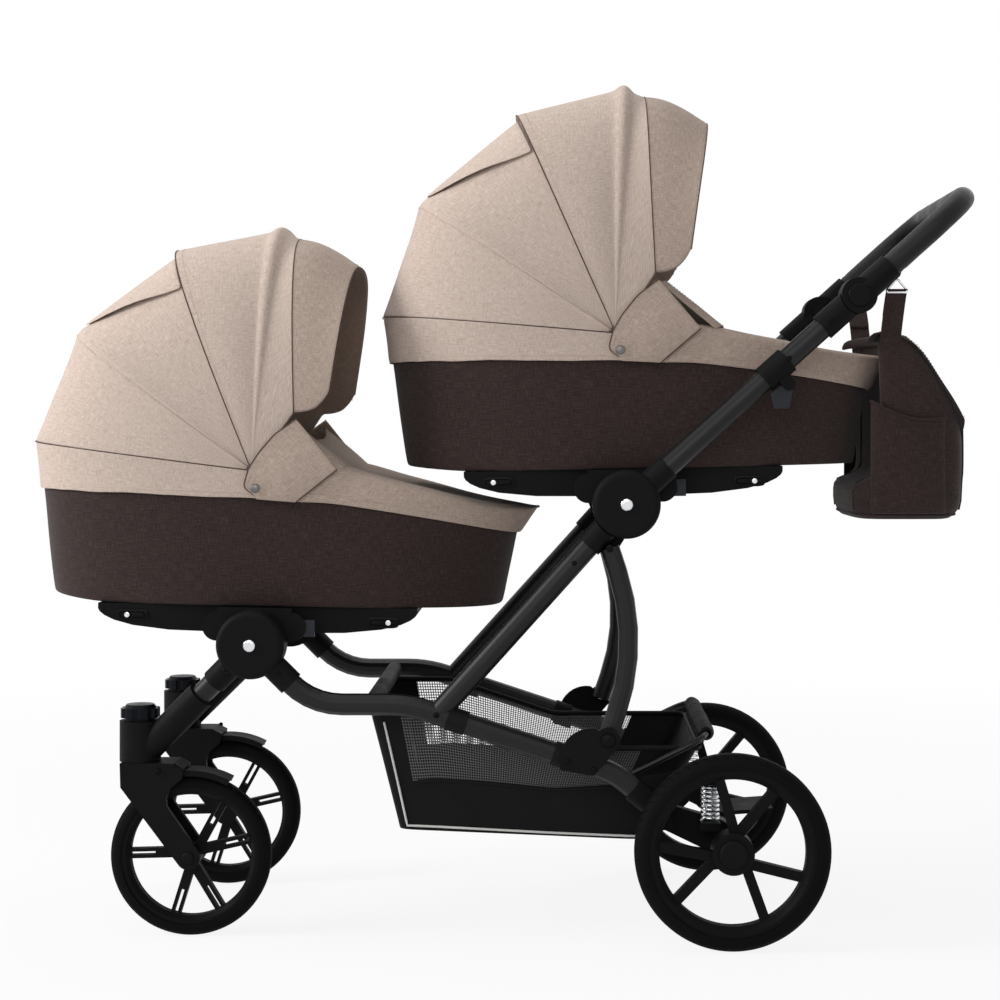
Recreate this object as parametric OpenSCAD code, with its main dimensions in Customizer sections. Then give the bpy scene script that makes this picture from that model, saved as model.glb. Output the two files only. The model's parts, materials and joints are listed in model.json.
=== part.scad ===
// Tandem pram for two babies: a tube chassis with a folding handle, two carrycots one behind
// the other, a shopping basket, a bag on the handle, sprung rear wheels and swivel front wheels.
// X runs from the front wheels back to the handle, Y across and Z up. Left is the -Y side.

/* [Wheels] */
// Outer diameter of a rear wheel
rear_wheel_d = 290; // [280:1:298]
// Width of a rear tyre
rear_tyre_w = 44; // [40:1:48]
// Distance between the middles of the rear wheels
rear_track = 555; // [552:1:590]
// Outer diameter of a front wheel
front_wheel_d = 243; // [230:1:250]
// Width of a front tyre
front_tyre_w = 38; // [34:1:42]
// Distance between the middles of the front wheels
front_track = 355; // [345:1:370]
// How far a front wheel trails behind its swivel axis
front_trail = 78; // [74:1:82]
// Rear axle, back from the middle of the part
rear_axle_x = 361; // [355:1:368]
// Swivel axis, forward of the middle of the part
swivel_ahead = 531; // [522:1:538]

/* [Frame] */
// Outer diameter of the frame tubes
tube_d = 33; // [30:1:34]
// Wall of the frame tubes
tube_wall = 2; // [1.5:0.5:3]
// Outer diameter of the rear legs
leg_d = 30; // [26:1:30]
// Distance between the middles of the left and right side tubes
frame_w = 464; // [460:1:480]
// Front hubs, forward of the middle of the part
front_hub_ahead = 354; // [348:1:360]
// Height of the front hubs
front_hub_z = 446; // [440:1:452]
// Rear hubs, back from the middle of the part
rear_hub_x = 206; // [202:1:212]
// Height of the rear hubs
rear_hub_z = 655; // [650:1:662]
// Diameter of the hubs
hub_d = 102; // [96:1:106]
// Height of the level run of the side tubes
run_z = 356; // [352:1:362]
// How far a hub sleeve reaches from the middle of its hub
sleeve_reach = 84; // [78:1:90]

/* [Handle] */
// Slope of the handle in degrees
handle_angle = 42; // [40:0.5:44]
// Distance from the rear hub to the tilt axis
handle_len = 466; // [455:1:475]
// Distance from the tilt axis to the middle of the grip
grip_len = 229; // [222:1:236]
// Outer diameter of the padded grip
grip_d = 35; // [32:1:37]
// Diameter of the grip's steel tube
grip_core_d = 22; // [20:1:24]
// Radius of the grip's corners
grip_bend = 78; // [70:1:90]

/* [Carrycots] */
// Length of a carrycot from its hub to the outer face of the head end
cot_head = 362; // [352:1:366]
// Length of a carrycot from its hub to the outer face of the foot end
cot_foot = 392; // [380:1:398]
// Width of a carrycot over its sides
cot_w = 376; // [366:1:378]
// Height of a carrycot's bottom above its hub
cot_bottom = 52; // [50:1:60]
// Height of a carrycot's edge above its hub at the middle
cot_edge = 228; // [222:1:236]
// Radius of the hood over its fixed panels
hood_r = 368; // [362:1:370]
// Opening of the seat tilt between the two carrycots, each way from level
cot_tilt = 1.1; // [0:0.1:1.5]

/* [Bag and basket] */
// Width of the bag
bag_w = 300; // [280:1:310]
// Depth of the bag at its bottom
bag_depth = 97; // [90:1:100]
// Height of the bag
bag_h = 278; // [260:1:290]
// Width of the basket at its upper edge
basket_w = 384; // [370:1:390]

/* [Hidden] */

// Colours
frame_black = [0.05, 0.05, 0.055];
plastic_black = [0.09, 0.09, 0.095];
tyre_black = [0.13, 0.13, 0.135];
bright_steel = [0.78, 0.79, 0.81];
lever_grey = [0.45, 0.48, 0.55];
beige_cloth = [0.72, 0.63, 0.56];
brown_cloth = [0.27, 0.21, 0.19];
mesh_grey = [0.30, 0.29, 0.29];
lining_white = [0.92, 0.90, 0.86];

// Clearances: a running fit, a seat, and the overrun of every cut
run_fit = 0.06;
seat_gap = 0.3;
over = 1;
round_fn = 64;
tube_sides = 14;
bend_steps = 5;

// Planes across the part, as distances from the middle
tube_y = frame_w / 2;
tube_in_y = tube_y - tube_d / 2;
tube_out_y = tube_y + tube_d / 2;
hub_inset = 20;
hub_split = 4;
hub_outset = 24;
hub_in_y = tube_y - hub_inset;
hub_mid_y = tube_y + hub_split;
hub_out_y = tube_y + hub_outset;
hub_round = 9;
hub_r = hub_d / 2;
hub_edge_gap = 1;
sleeve_wall = 3;
sleeve_r = tube_d / 2 + sleeve_wall;
sleeve_root = 28;
tube_root = 48;
post_root = hub_r + hub_edge_gap + seat_gap;
hub_bolt_d = 12;
hub_bolt_head_d = 19;
hub_bolt_head_h = 5;

// Points of the frame, in the side view
front_hub = [-front_hub_ahead, front_hub_z];
rear_hub = [rear_hub_x, rear_hub_z];
front_sleeve_slope = 45;
level_start = [front_hub[0] + (front_hub_z - run_z) / tan(front_sleeve_slope), run_z];
level_end_x = -120;
level_end = [level_end_x, run_z];
axle_r = 6;
rear_axle = [rear_axle_x, rear_wheel_d / 2];
tube_tail = [-111, 58];
tube_end = rear_axle + tube_tail;
tail_run = [-62, 51];
tail_bend = tube_end + tail_run;
main_path = [front_hub, level_start, level_end, tail_bend, tube_end];
main_bends = [0, 110, 200, 120, 0];
tail_dir = (tube_end - tail_bend) / norm(tube_end - tail_bend);
slope_dir = (tail_bend - level_end) / norm(tail_bend - level_end);
foot_along = 46;
post_foot = level_end + slope_dir * foot_along;
post_dir = (post_foot - rear_hub) / norm(post_foot - rear_hub);
post_len = norm(post_foot - rear_hub);
leg_top_at = [-25, -65];
leg_top = rear_hub + leg_top_at;
leg_foot_along = 295;
leg_foot_at = [18, 42];
leg_foot = level_end + slope_dir * leg_foot_along + leg_foot_at;
leg_bow = 48;
leg_knee = (leg_top + leg_foot) / 2 + [leg_bow, 0];
leg_path = [leg_top, leg_knee, leg_foot];
leg_bend = 330;
leg_plate_t = 4;
leg_plate_in = tube_out_y + seat_gap;
leg_plate_out = leg_plate_in + leg_plate_t;
leg_round_r = 19;
plate_bolt_r = 5;
moon_at = [-24, -30];
moon_r = 48;
moon_low = [[-71, -44], [-21, -53], [16, -10]];
moon_from = 82;
moon_to = 176;
moon_steps = 10;

// Swivel, fork and front leg
swivel_x = -swivel_ahead;
front_y = front_track / 2;
front_r = front_wheel_d / 2;
front_axle = [swivel_x + front_trail, front_r];
housing_r = 31;
housing_h = 61;
housing_z = 264;
housing_top = housing_z + housing_h;
stem_r = 8;
stem_h = 54;
lock_post_r = 9;
lock_post_h = 14;
lock_r = 29.5;
lock_h = 19;
lock_neck_r = 24;
lock_neck_h = 4.5;
lock_dome = 8;
lock_dome_shares = [0.7, 0.8];
lock_scallops = 8;
scallop_r = 8;
scallop_deep = 3.5;
socket_r = 22;
socket_reach = 142;
leg_sink = 6;
leg_a = [front_hub[0], -tube_y, front_hub[1]];
leg_b = [swivel_x, -front_y, housing_z + leg_sink];
leg_span = norm(leg_b - leg_a);
leg_u = (leg_b - leg_a) / leg_span;
leg_insert = 40;

// Handle and grip
handle_u = [cos(handle_angle), sin(handle_angle)];
handle_n = [sin(handle_angle), -cos(handle_angle)];
tilt_at = rear_hub + handle_u * handle_len;
tilt_r = 27;
tilt_inset = 19;
tilt_outset = 18;
tilt_in_y = tube_y - tilt_inset;
tilt_mid_y = tube_y;
tilt_out_y = tube_y + tilt_outset;
tilt_pin_r = 6;
clamp_wall = 4;
tilt_sleeve_r = tube_d / 2 + clamp_wall;
tilt_sleeve = 72;
tilt_arm_sleeve = 66;
button_r = 17;
button_h = 7;
button_sink = 3;
button_travel = 3;
button_recess = button_sink + button_travel + seat_gap;
hook_gap = 1.5;
hook_t = 6;
hook_to_y = tilt_in_y - hook_gap;
hook_from_y = hook_to_y - hook_t;
hook_reach = [62, 36];
hook_w = 12;

// Fold trigger under each handle tube
trigger_along = 300;
trigger_len = 46;
trigger_clamp_r = tube_d / 2 + clamp_wall;
trigger_drop = 29;
trigger_half = 7.5;
trigger_ear = 5;
trigger_ear_r = 9;
trigger_pin_r = 3;
tongue_len = 36;
tongue_w = 28;
tongue_end_share = 0.8;
tongue_knee_share = 0.39;

// Rear suspension
arm_run = [-106, 43];
pivot_at = rear_axle + arm_run;
pivot_r = 6;
arm_t = 20;
arm_boss_r = 19;
arm_axle_r = 27;
arm_corner_share = 0.7;
arm_out_y = tube_y - sleeve_r - seat_gap;
arm_in_y = arm_out_y - arm_t;
spring_ahead = 30;
spring_rise = 36;
spring_at = rear_axle + [-spring_ahead, 0];
spring_low = rear_wheel_d / 2 + spring_rise;
spring_len = 56;
spring_d = 29;
spring_wire = 3.8;
spring_curls = 8;
curl_rings = 8;
wire_sides = 6;
shelf_t = 12;
shelf_half = 15;
cap_t = 8;
cap_half = 15;
bracket_half = 6;
bracket_sleeve = 44;
axle_tube_d = 24;
axle_spacer_r = 10;
pedal_w = 110;
pedal_reach = 84;
pedal_t = 6;
pedal_ring_r = 18;
pedal_tilt = 4;
pedal_low = pedal_ring_r - pedal_t - seat_gap;

// Wheels
tyre_line_share = 0.86;
rim_open_share = 0.745;
front_open_share = 0.755;
tread_round_share = 0.36;
rim_w_share = 0.8;
wheel_hub_r = 31;
wheel_hub_w = 42;
hub_cap_r = 21;
hub_cap_h = 7;
spoke_pairs = 3;
spoke_w = 15;
spoke_t = 16;
spoke_root = 23;
spoke_spread = 22.8;
spoke_first = 78;
front_spoke_w = 15;
front_spoke_slot = 5;
slot_from_share = 0.5;
slot_to_share = 0.92;
front_hub_r = 17;
front_hub_w = 34;
front_spoke_t = 14;
front_spoke_root = 10;
front_spoke_spread = 22;
front_spoke_first = 37;
front_axle_r = 5;
front_axle_head_r = 9;
front_axle_head = 4;
wheel_fn = 96;
tread_grooves = 3;
tread_share = 0.8;
groove_w = 2;
groove_deep = 1.6;
fork_gap = 4;
fork_plate = 9;
fork_boss_r = 18;
fork_boss_shares = [0.82, 0.57];
fork_nose = [[-25, 0], [-24, -36]];
fork_back = [[46, -65], [45, -52], [51, -38], [68, -24], [71, -8], [56, 0]];
guard_gap = 5;
guard_t = 4;
guard_lip = 10;
guard_from = 62;
guard_to = 124;

// Carrycot, measured from the middle of its hubs
cot_a = [cot_head, cot_foot];
cot_b = cot_w / 2;
plan_power = 3;
cot_wall = 6;
cot_floor = 10;
cot_points = 36;
edge_head_rise = 6;
edge_foot_drop = 52;
edge_power = 1.2;
tub_taper_share = 0.962;
tub_round_share = 0.9;
tub_round_h = 16;
skin_gap = 0.5;
skirt_t = 3.6;
skirt_lap = 11;
skirt_flare = 9;
skirt_from = 89.89;
skirt_steps = 22;
pivot_x = -10;
hood_pivot_rise = 30;
pivot_z = cot_edge + hood_pivot_rise;
hood_t = 3;
hood_half = cot_b + skin_gap + skirt_t;
hood_slide_gap = 1.8;
hood_side_gap = 3.4;
front_hood_r = hood_r + hood_slide_gap + hood_t;
front_hood_half = hood_half + hood_side_gap + hood_t;
bow_angles = [174, 144.5, 110.5];
hoop_shares = [0.03, 0.3, 0.55, 0.72, 0.84, 0.92, 0.97, 0.993, 1];
panel_steps = 4;
hood_lap = 2.5;
hood_bulge = 6;
front_bow = 88;
visor_side = [[55, 348], [82, 352], [106, 372]];
visor_top_angles = [82, 74, 66.5];
bow_wire = 9;
bow_steps = 18;
bow_from = 0.9;
bow_disc_r = 15;
bow_disc_t = 5;
bow_pin_r = 4;
mattress_gap = 8;
mattress_h = 46;
mattress_crown = 12;
mattress_rise_shares = [0.25, 0.75];
mattress_crown_share = 0.7;
mattress_shares = [0.96, 0.94, 0.6, 0.25];
apron_t = 3.6;
apron_from = 8;
apron_steps = 12;
apron_lap = 12;
apron_crown_h = 58;
apron_side_share = 0.62;
apron_fall_share = 0.4;
apron_powers = [2.6, 0.8];
apron_step_power = 2.2;
apron_arch_steps = 6;
apron_round = 16;
flap_run = 104;
flap_rise = 70;
flap_lean = 61;
base_from = -245;
base_to = 242;
base_deep = 41;
base_lip = 8;
base_wall = 4;
base_powers = [4, 0.6];
belly_shares = [-1, -0.99, -0.96, -0.9, -0.78, -0.55, -0.2, 0.2, 0.55, 0.78, 0.9, 0.96, 0.99, 1];
bracket_t = 12;
lobe_at = 56;
lobe_z = 24;
lobe_r = 22;
flange_z = 22;
flange_t = 24;
flange_reach = 33.4;
base_half = hub_in_y - seat_gap - bracket_t - flange_reach - seat_gap;
tongue_half = 14;
tongue_low = 2;
tongue_top = 30;
tongue_deep = 9;
tab_from = 64;
tab_to = 91;
tab_low = 10;
tab_top = 35;
tab_t = 7;
tab_travel = 4;

// Basket, rail and bag
basket_ahead = [52, 6];
basket_short = [42, 128];
basket_front = level_end[0] - basket_ahead[0];
basket_back = rear_axle_x - basket_short[0];
basket_floor_front = level_end[0] - basket_ahead[1];
basket_floor_back = rear_axle_x - basket_short[1];
basket_low_front = 163;
basket_low_back = 152;
basket_wall = 4;
basket_low_w = 340;
basket_points = 36;
basket_rear_z = 284;
basket_power = 5;
loop_at = [-62, 96];
loop_w = 30;
loop_t = 3;
loop_drop = 14;
crossbar_d = 26;
crossbar_ahead = 55;
crossbar_x = level_end[0] - crossbar_ahead;
rail_d = 9;
rail_root = 18;
rail_foot = tail_bend + tail_dir * rail_root;
rail_reach = [128, 62];
rail_bend = 40;
rail_sides = 8;
bag_behind = 78;
bag_drop = 61;
bag_front = tilt_at[0] + bag_behind;
bag_top = tilt_at[1] - bag_drop;
bag_top_depth = 14;
bag_bow = 50;
bag_power = 4;
bag_points = 32;
bag_rise_shares = [0, 0.06, 0.3, 0.75, 0.95, 1];
bag_shares = [0.86, 0.96, 1, 1, 0.95, 0.88];
strap_w = 38;
strap_t = 3;
strap_x = tilt_at[0] + hook_reach[0];
ring_wire = 4;
ring_w = 40;
ring_h = 22;
ring_open_share = 0.72;
ring_drop_share = 0.04;

// Helpers for outlines, tubes and lofts
function arc(c, r, from, to, steps) =
    [for (i = [0:steps]) let (a = from + (to - from) * i / steps) c + r * [cos(a), sin(a)]];
function turn(a, b, c) = let (u = b - a, v = c - b) atan2(u[0] * v[1] - u[1] * v[0], u * v);
function heading(a, b) = atan2(b[1] - a[1], b[0] - a[0]);
function setback(p, r, i) =
    (i <= 0 || i >= len(p) - 1) ? 0 : r[i] * tan(abs(turn(p[i - 1], p[i], p[i + 1])) / 2);
// The stations of a bent tube: place and heading at each ring, in the plane of the bends
function bend_stations(p, r, i) =
    let (t = turn(p[i - 1], p[i], p[i + 1]), h = heading(p[i - 1], p[i]), s = t > 0 ? 1 : -1)
    let (start = p[i] - setback(p, r, i) * [cos(h), sin(h)])
    let (c = start + s * r[i] * [-sin(h), cos(h)])
    [for (k = [0:bend_steps]) let (a = h + t * k / bend_steps) [c - s * r[i] * [-sin(a), cos(a)], a]];
function tube_stations(p, r) = concat(
    [[p[0], heading(p[0], p[1])]],
    [for (i = [1:len(p) - 2]) each bend_stations(p, r, i)],
    [[p[len(p) - 1], heading(p[len(p) - 2], p[len(p) - 1])]]);
function tube_ring(s, r, sides) =
    [for (k = [0:sides - 1]) let (a = 360 * k / sides)
        [s[0][0] - r * cos(a) * sin(s[1]), s[0][1] + r * cos(a) * cos(s[1]), r * sin(a)]];
function quad(a, b, c, d) = [[a, b, c], [a, c, d]];
// Faces of a strip of rings, each of n points, closed round the ring
function skin_faces(rings, n, first, flip) =
    [for (i = [0:rings - 2], j = [0:n - 1])
        let (a = first + i * n + j, b = first + i * n + (j + 1) % n)
        each (flip ? quad(a, a + n, b + n, b) : quad(a, b, b + n, a + n))];

module swept(stations, d, bore, sides) {
    m = len(stations);
    outer = [for (s = stations) each tube_ring(s, d / 2, sides)];
    inner = bore > 0 ? [for (s = stations) each tube_ring(s, bore / 2, sides)] : [];
    k = m * sides;
    last = (m - 1) * sides;
    open_ends = [for (j = [0:sides - 1], e = [0, last])
        let (a = e + j, b = e + (j + 1) % sides)
        each (e == 0 ? quad(a, b, b + k, a + k) : quad(b, a, a + k, b + k))];
    closed_ends = [for (j = [1:sides - 2], e = [0, last])
        e == 0 ? [e, e + j, e + j + 1] : [e, e + j + 1, e + j]];
    faces = concat(skin_faces(m, sides, 0, true),
        bore > 0 ? concat(skin_faces(m, sides, k, false), open_ends) : closed_ends);
    polyhedron(points = concat(outer, inner), faces = faces, convexity = 8);
}
// A solid through stacked closed rings, with flat ends
module stacked(rings) {
    n = len(rings[0]);
    m = len(rings);
    last = (m - 1) * n;
    ends = [for (j = [1:n - 2]) each [[0, j, j + 1], [last, last + j + 1, last + j]]];
    polyhedron(points = [for (r = rings) each r],
        faces = concat(skin_faces(m, n, 0, true), ends), convexity = 8);
}
// A shell between two grids of points, outer and inner, open along all four edges of the grid
module draped(outer, inner) {
    m = len(outer);
    n = len(outer[0]);
    k = m * n;
    sheet = [for (i = [0:m - 2], j = [0:n - 2]) let (a = i * n + j)
        each concat(quad(a, a + 1, a + n + 1, a + n), quad(k + a, k + a + n, k + a + n + 1, k + a + 1))];
    near = [for (j = [0:n - 2]) each concat(quad(j, k + j, k + j + 1, j + 1),
        quad((m - 1) * n + j, (m - 1) * n + j + 1, k + (m - 1) * n + j + 1, k + (m - 1) * n + j))];
    sides = [for (i = [0:m - 2]) each concat(
        quad(i * n, i * n + n, k + i * n + n, k + i * n),
        quad(i * n + n - 1, k + i * n + n - 1, k + i * n + 2 * n - 1, i * n + 2 * n - 1))];
    polyhedron(points = concat([for (r = outer) each r], [for (r = inner) each r]),
        faces = concat(sheet, near, sides), convexity = 8);
}
// Places what is drawn in a side plane, at a distance from the middle on the left
module side(y) {
    translate([0, -y, 0]) rotate([90, 0, 0]) children();
}
module both() {
    children();
    mirror([0, 1, 0]) children();
}
module on_right() {
    mirror([0, 1, 0]) children();
}
module plate(from, to) {
    side(from) linear_extrude(to - from) children();
}
module cross_rod(at, r, from, to) {
    translate([at[0], -from, at[1]]) rotate([90, 0, 0])
        cylinder(r = r, h = to - from, $fn = round_fn);
}
// A rod in the side plane y, along a direction, between two distances from a point
module side_rod(at, dir, from, to, r, y = tube_y) {
    translate([at[0] + dir[0] * from, -y, at[1] + dir[1] * from])
        rotate([0, 90 - atan2(dir[1], dir[0]), 0])
            cylinder(r = r, h = to - from, $fn = round_fn);
}
module rod_3d(a, u, from, to, r) {
    translate(a + u * from) rotate([0, acos(u[2]), atan2(u[1], u[0])])
        cylinder(r = r, h = to - from, $fn = round_fn);
}
module round_disc(at, r, from, to, edge) {
    t = to - from;
    translate([at[0], -from, at[1]]) rotate([90, 0, 0]) rotate_extrude($fn = round_fn)
        polygon(concat([[0, 0], [r, 0]], arc([r - edge, t - edge], edge, 0, 90, bend_steps), [[0, t]]));
}

// Frame tubes
module main_tubes() {
    stations = tube_stations(
        [main_path[0] + tube_root * [cos(-front_sleeve_slope), sin(-front_sleeve_slope)],
            main_path[1], main_path[2], main_path[3], main_path[4]], main_bends);
    color(frame_black) both() side(tube_y) swept(stations, tube_d, tube_d - 2 * tube_wall, tube_sides);
}
module seat_posts() {
    color(frame_black) both() difference() {
        side_rod(rear_hub, post_dir, post_root, post_len, tube_d / 2);
        side_rod(rear_hub, post_dir, post_root - over, post_len + over, tube_d / 2 - tube_wall);
        side_rod(post_foot, slope_dir, -tube_d, tube_d, tube_d / 2 + seat_gap);
    }
}
module rear_legs() {
    color(frame_black) both() difference() {
        side(tube_y) swept(tube_stations(leg_path, [0, leg_bend, 0]), leg_d, 0, tube_sides);
        side_rod(rear_hub, post_dir, sleeve_root, sleeve_reach + seat_gap, sleeve_r + seat_gap);
    }
}
module leg_plates() {
    moon = leg_foot + moon_at;
    color(plastic_black) both() difference() {
        plate(leg_plate_in, leg_plate_out) {
            translate(leg_foot) circle(r = leg_round_r, $fn = round_fn);
            polygon(concat(arc(moon, moon_r, moon_from, moon_to, moon_steps),
                [for (at = moon_low) leg_foot + at]));
        }
        cross_rod(leg_foot, plate_bolt_r + run_fit, tube_y, leg_plate_out + over);
    }
}
// Hubs
module tongue_block(tilt, at) {
    translate([at[0], 0, at[1]]) rotate([0, tilt, 0])
        translate([-tongue_half, -hub_in_y - over, tongue_low])
            cube([2 * tongue_half, tongue_deep + over, tongue_top - tongue_low]);
}
module front_hubs() {
    dir = [cos(front_sleeve_slope), -sin(front_sleeve_slope)];
    color(plastic_black) both() difference() {
        union() {
            round_disc(front_hub, hub_r, hub_in_y, hub_out_y, hub_round);
            side_rod(front_hub, dir, sleeve_root, sleeve_reach, sleeve_r);
            rod_3d(leg_a, leg_u, sleeve_root, sleeve_reach, sleeve_r);
            tongue_block(cot_tilt, front_hub);
        }
        side_rod(front_hub, dir, tube_root - over, sleeve_reach + over, tube_d / 2 + run_fit);
        rod_3d(leg_a, leg_u, tube_root - over, sleeve_reach + over, tube_d / 2 + run_fit);
        cross_rod(front_hub, hub_bolt_d / 2 + run_fit, hub_in_y - over, hub_out_y + over);
    }
}
module rear_hubs() {
    ear_in = hub_in_y;
    ear_out = tube_y - leg_d / 2 - seat_gap;
    color(plastic_black) both() difference() {
        union() {
            round_disc(rear_hub, hub_r, hub_in_y, hub_mid_y - seat_gap / 2, seat_gap);
            side_rod(rear_hub, post_dir, sleeve_root, sleeve_reach, sleeve_r);
            plate(ear_in, ear_out) {
                translate(leg_top) circle(r = leg_d / 2, $fn = round_fn);
                polygon([rear_hub + [-leg_d, -hub_r / 2], leg_top + [-leg_d / 2, 0],
                    leg_top + [leg_d / 2, 0], rear_hub + [leg_d / 2, -hub_r / 2]]);
            }
            tongue_block(-cot_tilt, rear_hub);
        }
        cross_rod(rear_hub, hub_r + hub_edge_gap, hub_mid_y - seat_gap / 2, hub_out_y + over);
        side_rod(rear_hub, post_dir, post_root - over, sleeve_reach + over, tube_d / 2 + run_fit);
        cross_rod(rear_hub, hub_bolt_d / 2 + run_fit, hub_in_y - over, hub_out_y + over);
    }
}
module dome_bolt(at, r, head_r, from, to, head_h) {
    cross_rod(at, r, from, to);
    round_disc(at, head_r, to, to + head_h, head_h - over);
}
module frame_bolts() {
    color(bright_steel) both() {
        dome_bolt(front_hub, hub_bolt_d / 2, hub_bolt_head_d / 2, hub_in_y, hub_out_y, hub_bolt_head_h);
        dome_bolt(rear_hub, hub_bolt_d / 2, hub_bolt_head_d / 2, hub_in_y, hub_out_y, hub_bolt_head_h);
        dome_bolt(leg_foot, plate_bolt_r, hub_bolt_head_d / 2, tube_y + leg_d / 2, leg_plate_out,
            hub_bolt_head_h);
    }
}
module front_legs() {
    color(frame_black) both() difference() {
        rod_3d(leg_a, leg_u, tube_root, leg_span - socket_reach + leg_insert, tube_d / 2);
        rod_3d(leg_a, leg_u, tube_root - over, leg_span, tube_d / 2 - tube_wall);
    }
}
module at_swivel(z) {
    translate([swivel_x, -front_y, z]) children();
}
module swivel_housings() {
    color(plastic_black) both() difference() {
        union() {
            at_swivel(housing_z) cylinder(r = housing_r, h = housing_h, $fn = round_fn);
            difference() {
                rod_3d(leg_b, -leg_u, 0, socket_reach, socket_r);
                at_swivel(housing_z - housing_h) cylinder(r = housing_r + socket_r, h = housing_h);
            }
            at_swivel(housing_top - over) cylinder(r = lock_post_r, h = lock_post_h + over, $fn = round_fn);
        }
        rod_3d(leg_b, -leg_u, socket_reach - leg_insert - seat_gap, socket_reach + over,
            tube_d / 2 + run_fit);
        at_swivel(housing_z - over)
            cylinder(r = stem_r + run_fit, h = stem_h + seat_gap + over, $fn = round_fn);
    }
}
module front_crossbar() {
    at = [crossbar_x, run_z];
    color(plastic_black) cross_rod(at, crossbar_d / 2, -tube_in_y + seat_gap, tube_in_y - seat_gap);
}

// Basket and its rear rail
function plan_ring(from, to, half, n) =
    [for (k = [0:n - 1]) let (a = 360 * k / n, c = cos(a), s = sin(a), e = 2 / basket_power)
        [(from + to) / 2 + (to - from) / 2 * sign(c) * pow(abs(c), e), half * sign(s) * pow(abs(s), e)]];
function tube_z(x) = level_end[1] + (x - level_end[0]) * slope_dir[1] / slope_dir[0];
function basket_edge_z(x) = min(run_z - crossbar_d / 2 - seat_gap, max(tube_z(x), basket_rear_z));
function basket_floor_z(x) = basket_low_front + (basket_low_back - basket_low_front)
    * (x - basket_floor_front) / (basket_floor_back - basket_floor_front);
function basket_ring(share, inset) =
    let (from = basket_floor_front + (basket_front - basket_floor_front) * share + inset)
    let (to = basket_floor_back + (basket_back - basket_floor_back) * share - inset)
    let (half = (basket_low_w + (basket_w - basket_low_w) * share) / 2 - inset)
    [for (p = plan_ring(from, to, half, basket_points))
        let (low = basket_floor_z(p[0]) + inset, top = basket_edge_z(p[0]))
        [p[0], p[1], low + (top - low) * share]];
module basket() {
    color(mesh_grey) {
        stacked([basket_ring(0, 0), basket_ring(1 / 2, 0), basket_ring(1, 0),
            basket_ring(1, basket_wall), basket_ring(1 / 2, basket_wall), basket_ring(0, basket_wall)]);
        for (x = loop_at)
            both() translate([x, -tube_in_y + seat_gap, tube_z(x) - loop_drop])
                cube([loop_w, tube_in_y - basket_w / 2 - 2 * seat_gap, loop_t]);
    }
}
module basket_rail() {
    half = tube_in_y - rail_d / 2 - seat_gap;
    reach = norm(rail_reach);
    path = [[0, -half], [reach, -half], [reach, half], [0, half]];
    color(plastic_black) translate([rail_foot[0], 0, rail_foot[1]])
        rotate([0, -atan2(rail_reach[1], rail_reach[0]), 0])
            swept(tube_stations(path, [0, rail_bend, rail_bend, 0]), rail_d, 0, rail_sides);
}

// Rear suspension, axle and brake
module rear_brackets() {
    top = spring_at + [0, spring_low + spring_len - spring_at[1]];
    root = tube_end - tail_dir * bracket_sleeve;
    color(plastic_black) both() difference() {
        union() {
            side_rod(tube_end, tail_dir, -bracket_sleeve, sleeve_wall, sleeve_r);
            plate(tube_y - bracket_half, tube_y + bracket_half)
                polygon([root + [sleeve_r, sleeve_r], top + [-cap_half, cap_t + cap_half],
                    top + [cap_half, cap_t], top + [cap_half, 0], top + [-cap_half - sleeve_wall, 0],
                    pivot_at + [sleeve_r, arm_boss_r], pivot_at + [arm_boss_r, -arm_boss_r],
                    pivot_at + [-arm_boss_r, -arm_boss_r], root]);
            plate(tube_y - cap_half, tube_y + cap_half)
                translate(top + [-cap_half, 0]) square([2 * cap_half, cap_t]);
            cross_rod(pivot_at, pivot_r, arm_in_y - over, tube_y);
        }
        side_rod(tube_end, tail_dir, -bracket_sleeve - over, 0, tube_d / 2 + run_fit);
    }
}
module swing_arms() {
    seat = spring_at + [0, spring_low - spring_at[1]];
    color(plastic_black) both() difference() {
        union() {
            cross_rod(rear_axle, arm_axle_r, arm_in_y, arm_out_y);
            cross_rod(pivot_at, arm_boss_r, arm_in_y, arm_out_y);
            plate(arm_in_y, arm_out_y)
                polygon([pivot_at + [0, arm_boss_r], seat + [shelf_half, 0],
                    rear_axle + arm_axle_r * arm_corner_share * [1, 1],
                    rear_axle + [0, -arm_axle_r], pivot_at + [0, -arm_boss_r]]);
            plate(arm_in_y, tube_y + shelf_half)
                translate(seat + [-shelf_half, -shelf_t]) square([2 * shelf_half, shelf_t]);
        }
        cross_rod(pivot_at, pivot_r + run_fit, arm_in_y - over, arm_out_y + over);
        cross_rod(rear_axle, axle_r + run_fit, arm_in_y - over, arm_out_y + over);
    }
}
module rear_axle() {
    hub_face = rear_track / 2 - wheel_hub_w / 2;
    end = rear_track / 2 + wheel_hub_w / 2 - over;
    color(bright_steel) {
        cross_rod(rear_axle, axle_r, -end, end);
        axle_sleeve(-arm_in_y + seat_gap, arm_in_y - seat_gap, axle_tube_d / 2);
        both() axle_sleeve(arm_out_y + seat_gap, hub_face - seat_gap, axle_spacer_r);
    }
}
module axle_sleeve(from, to, r) {
    difference() {
        cross_rod(rear_axle, r, from, to);
        cross_rod(rear_axle, axle_r + run_fit, from - over, to + over);
    }
}
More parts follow.
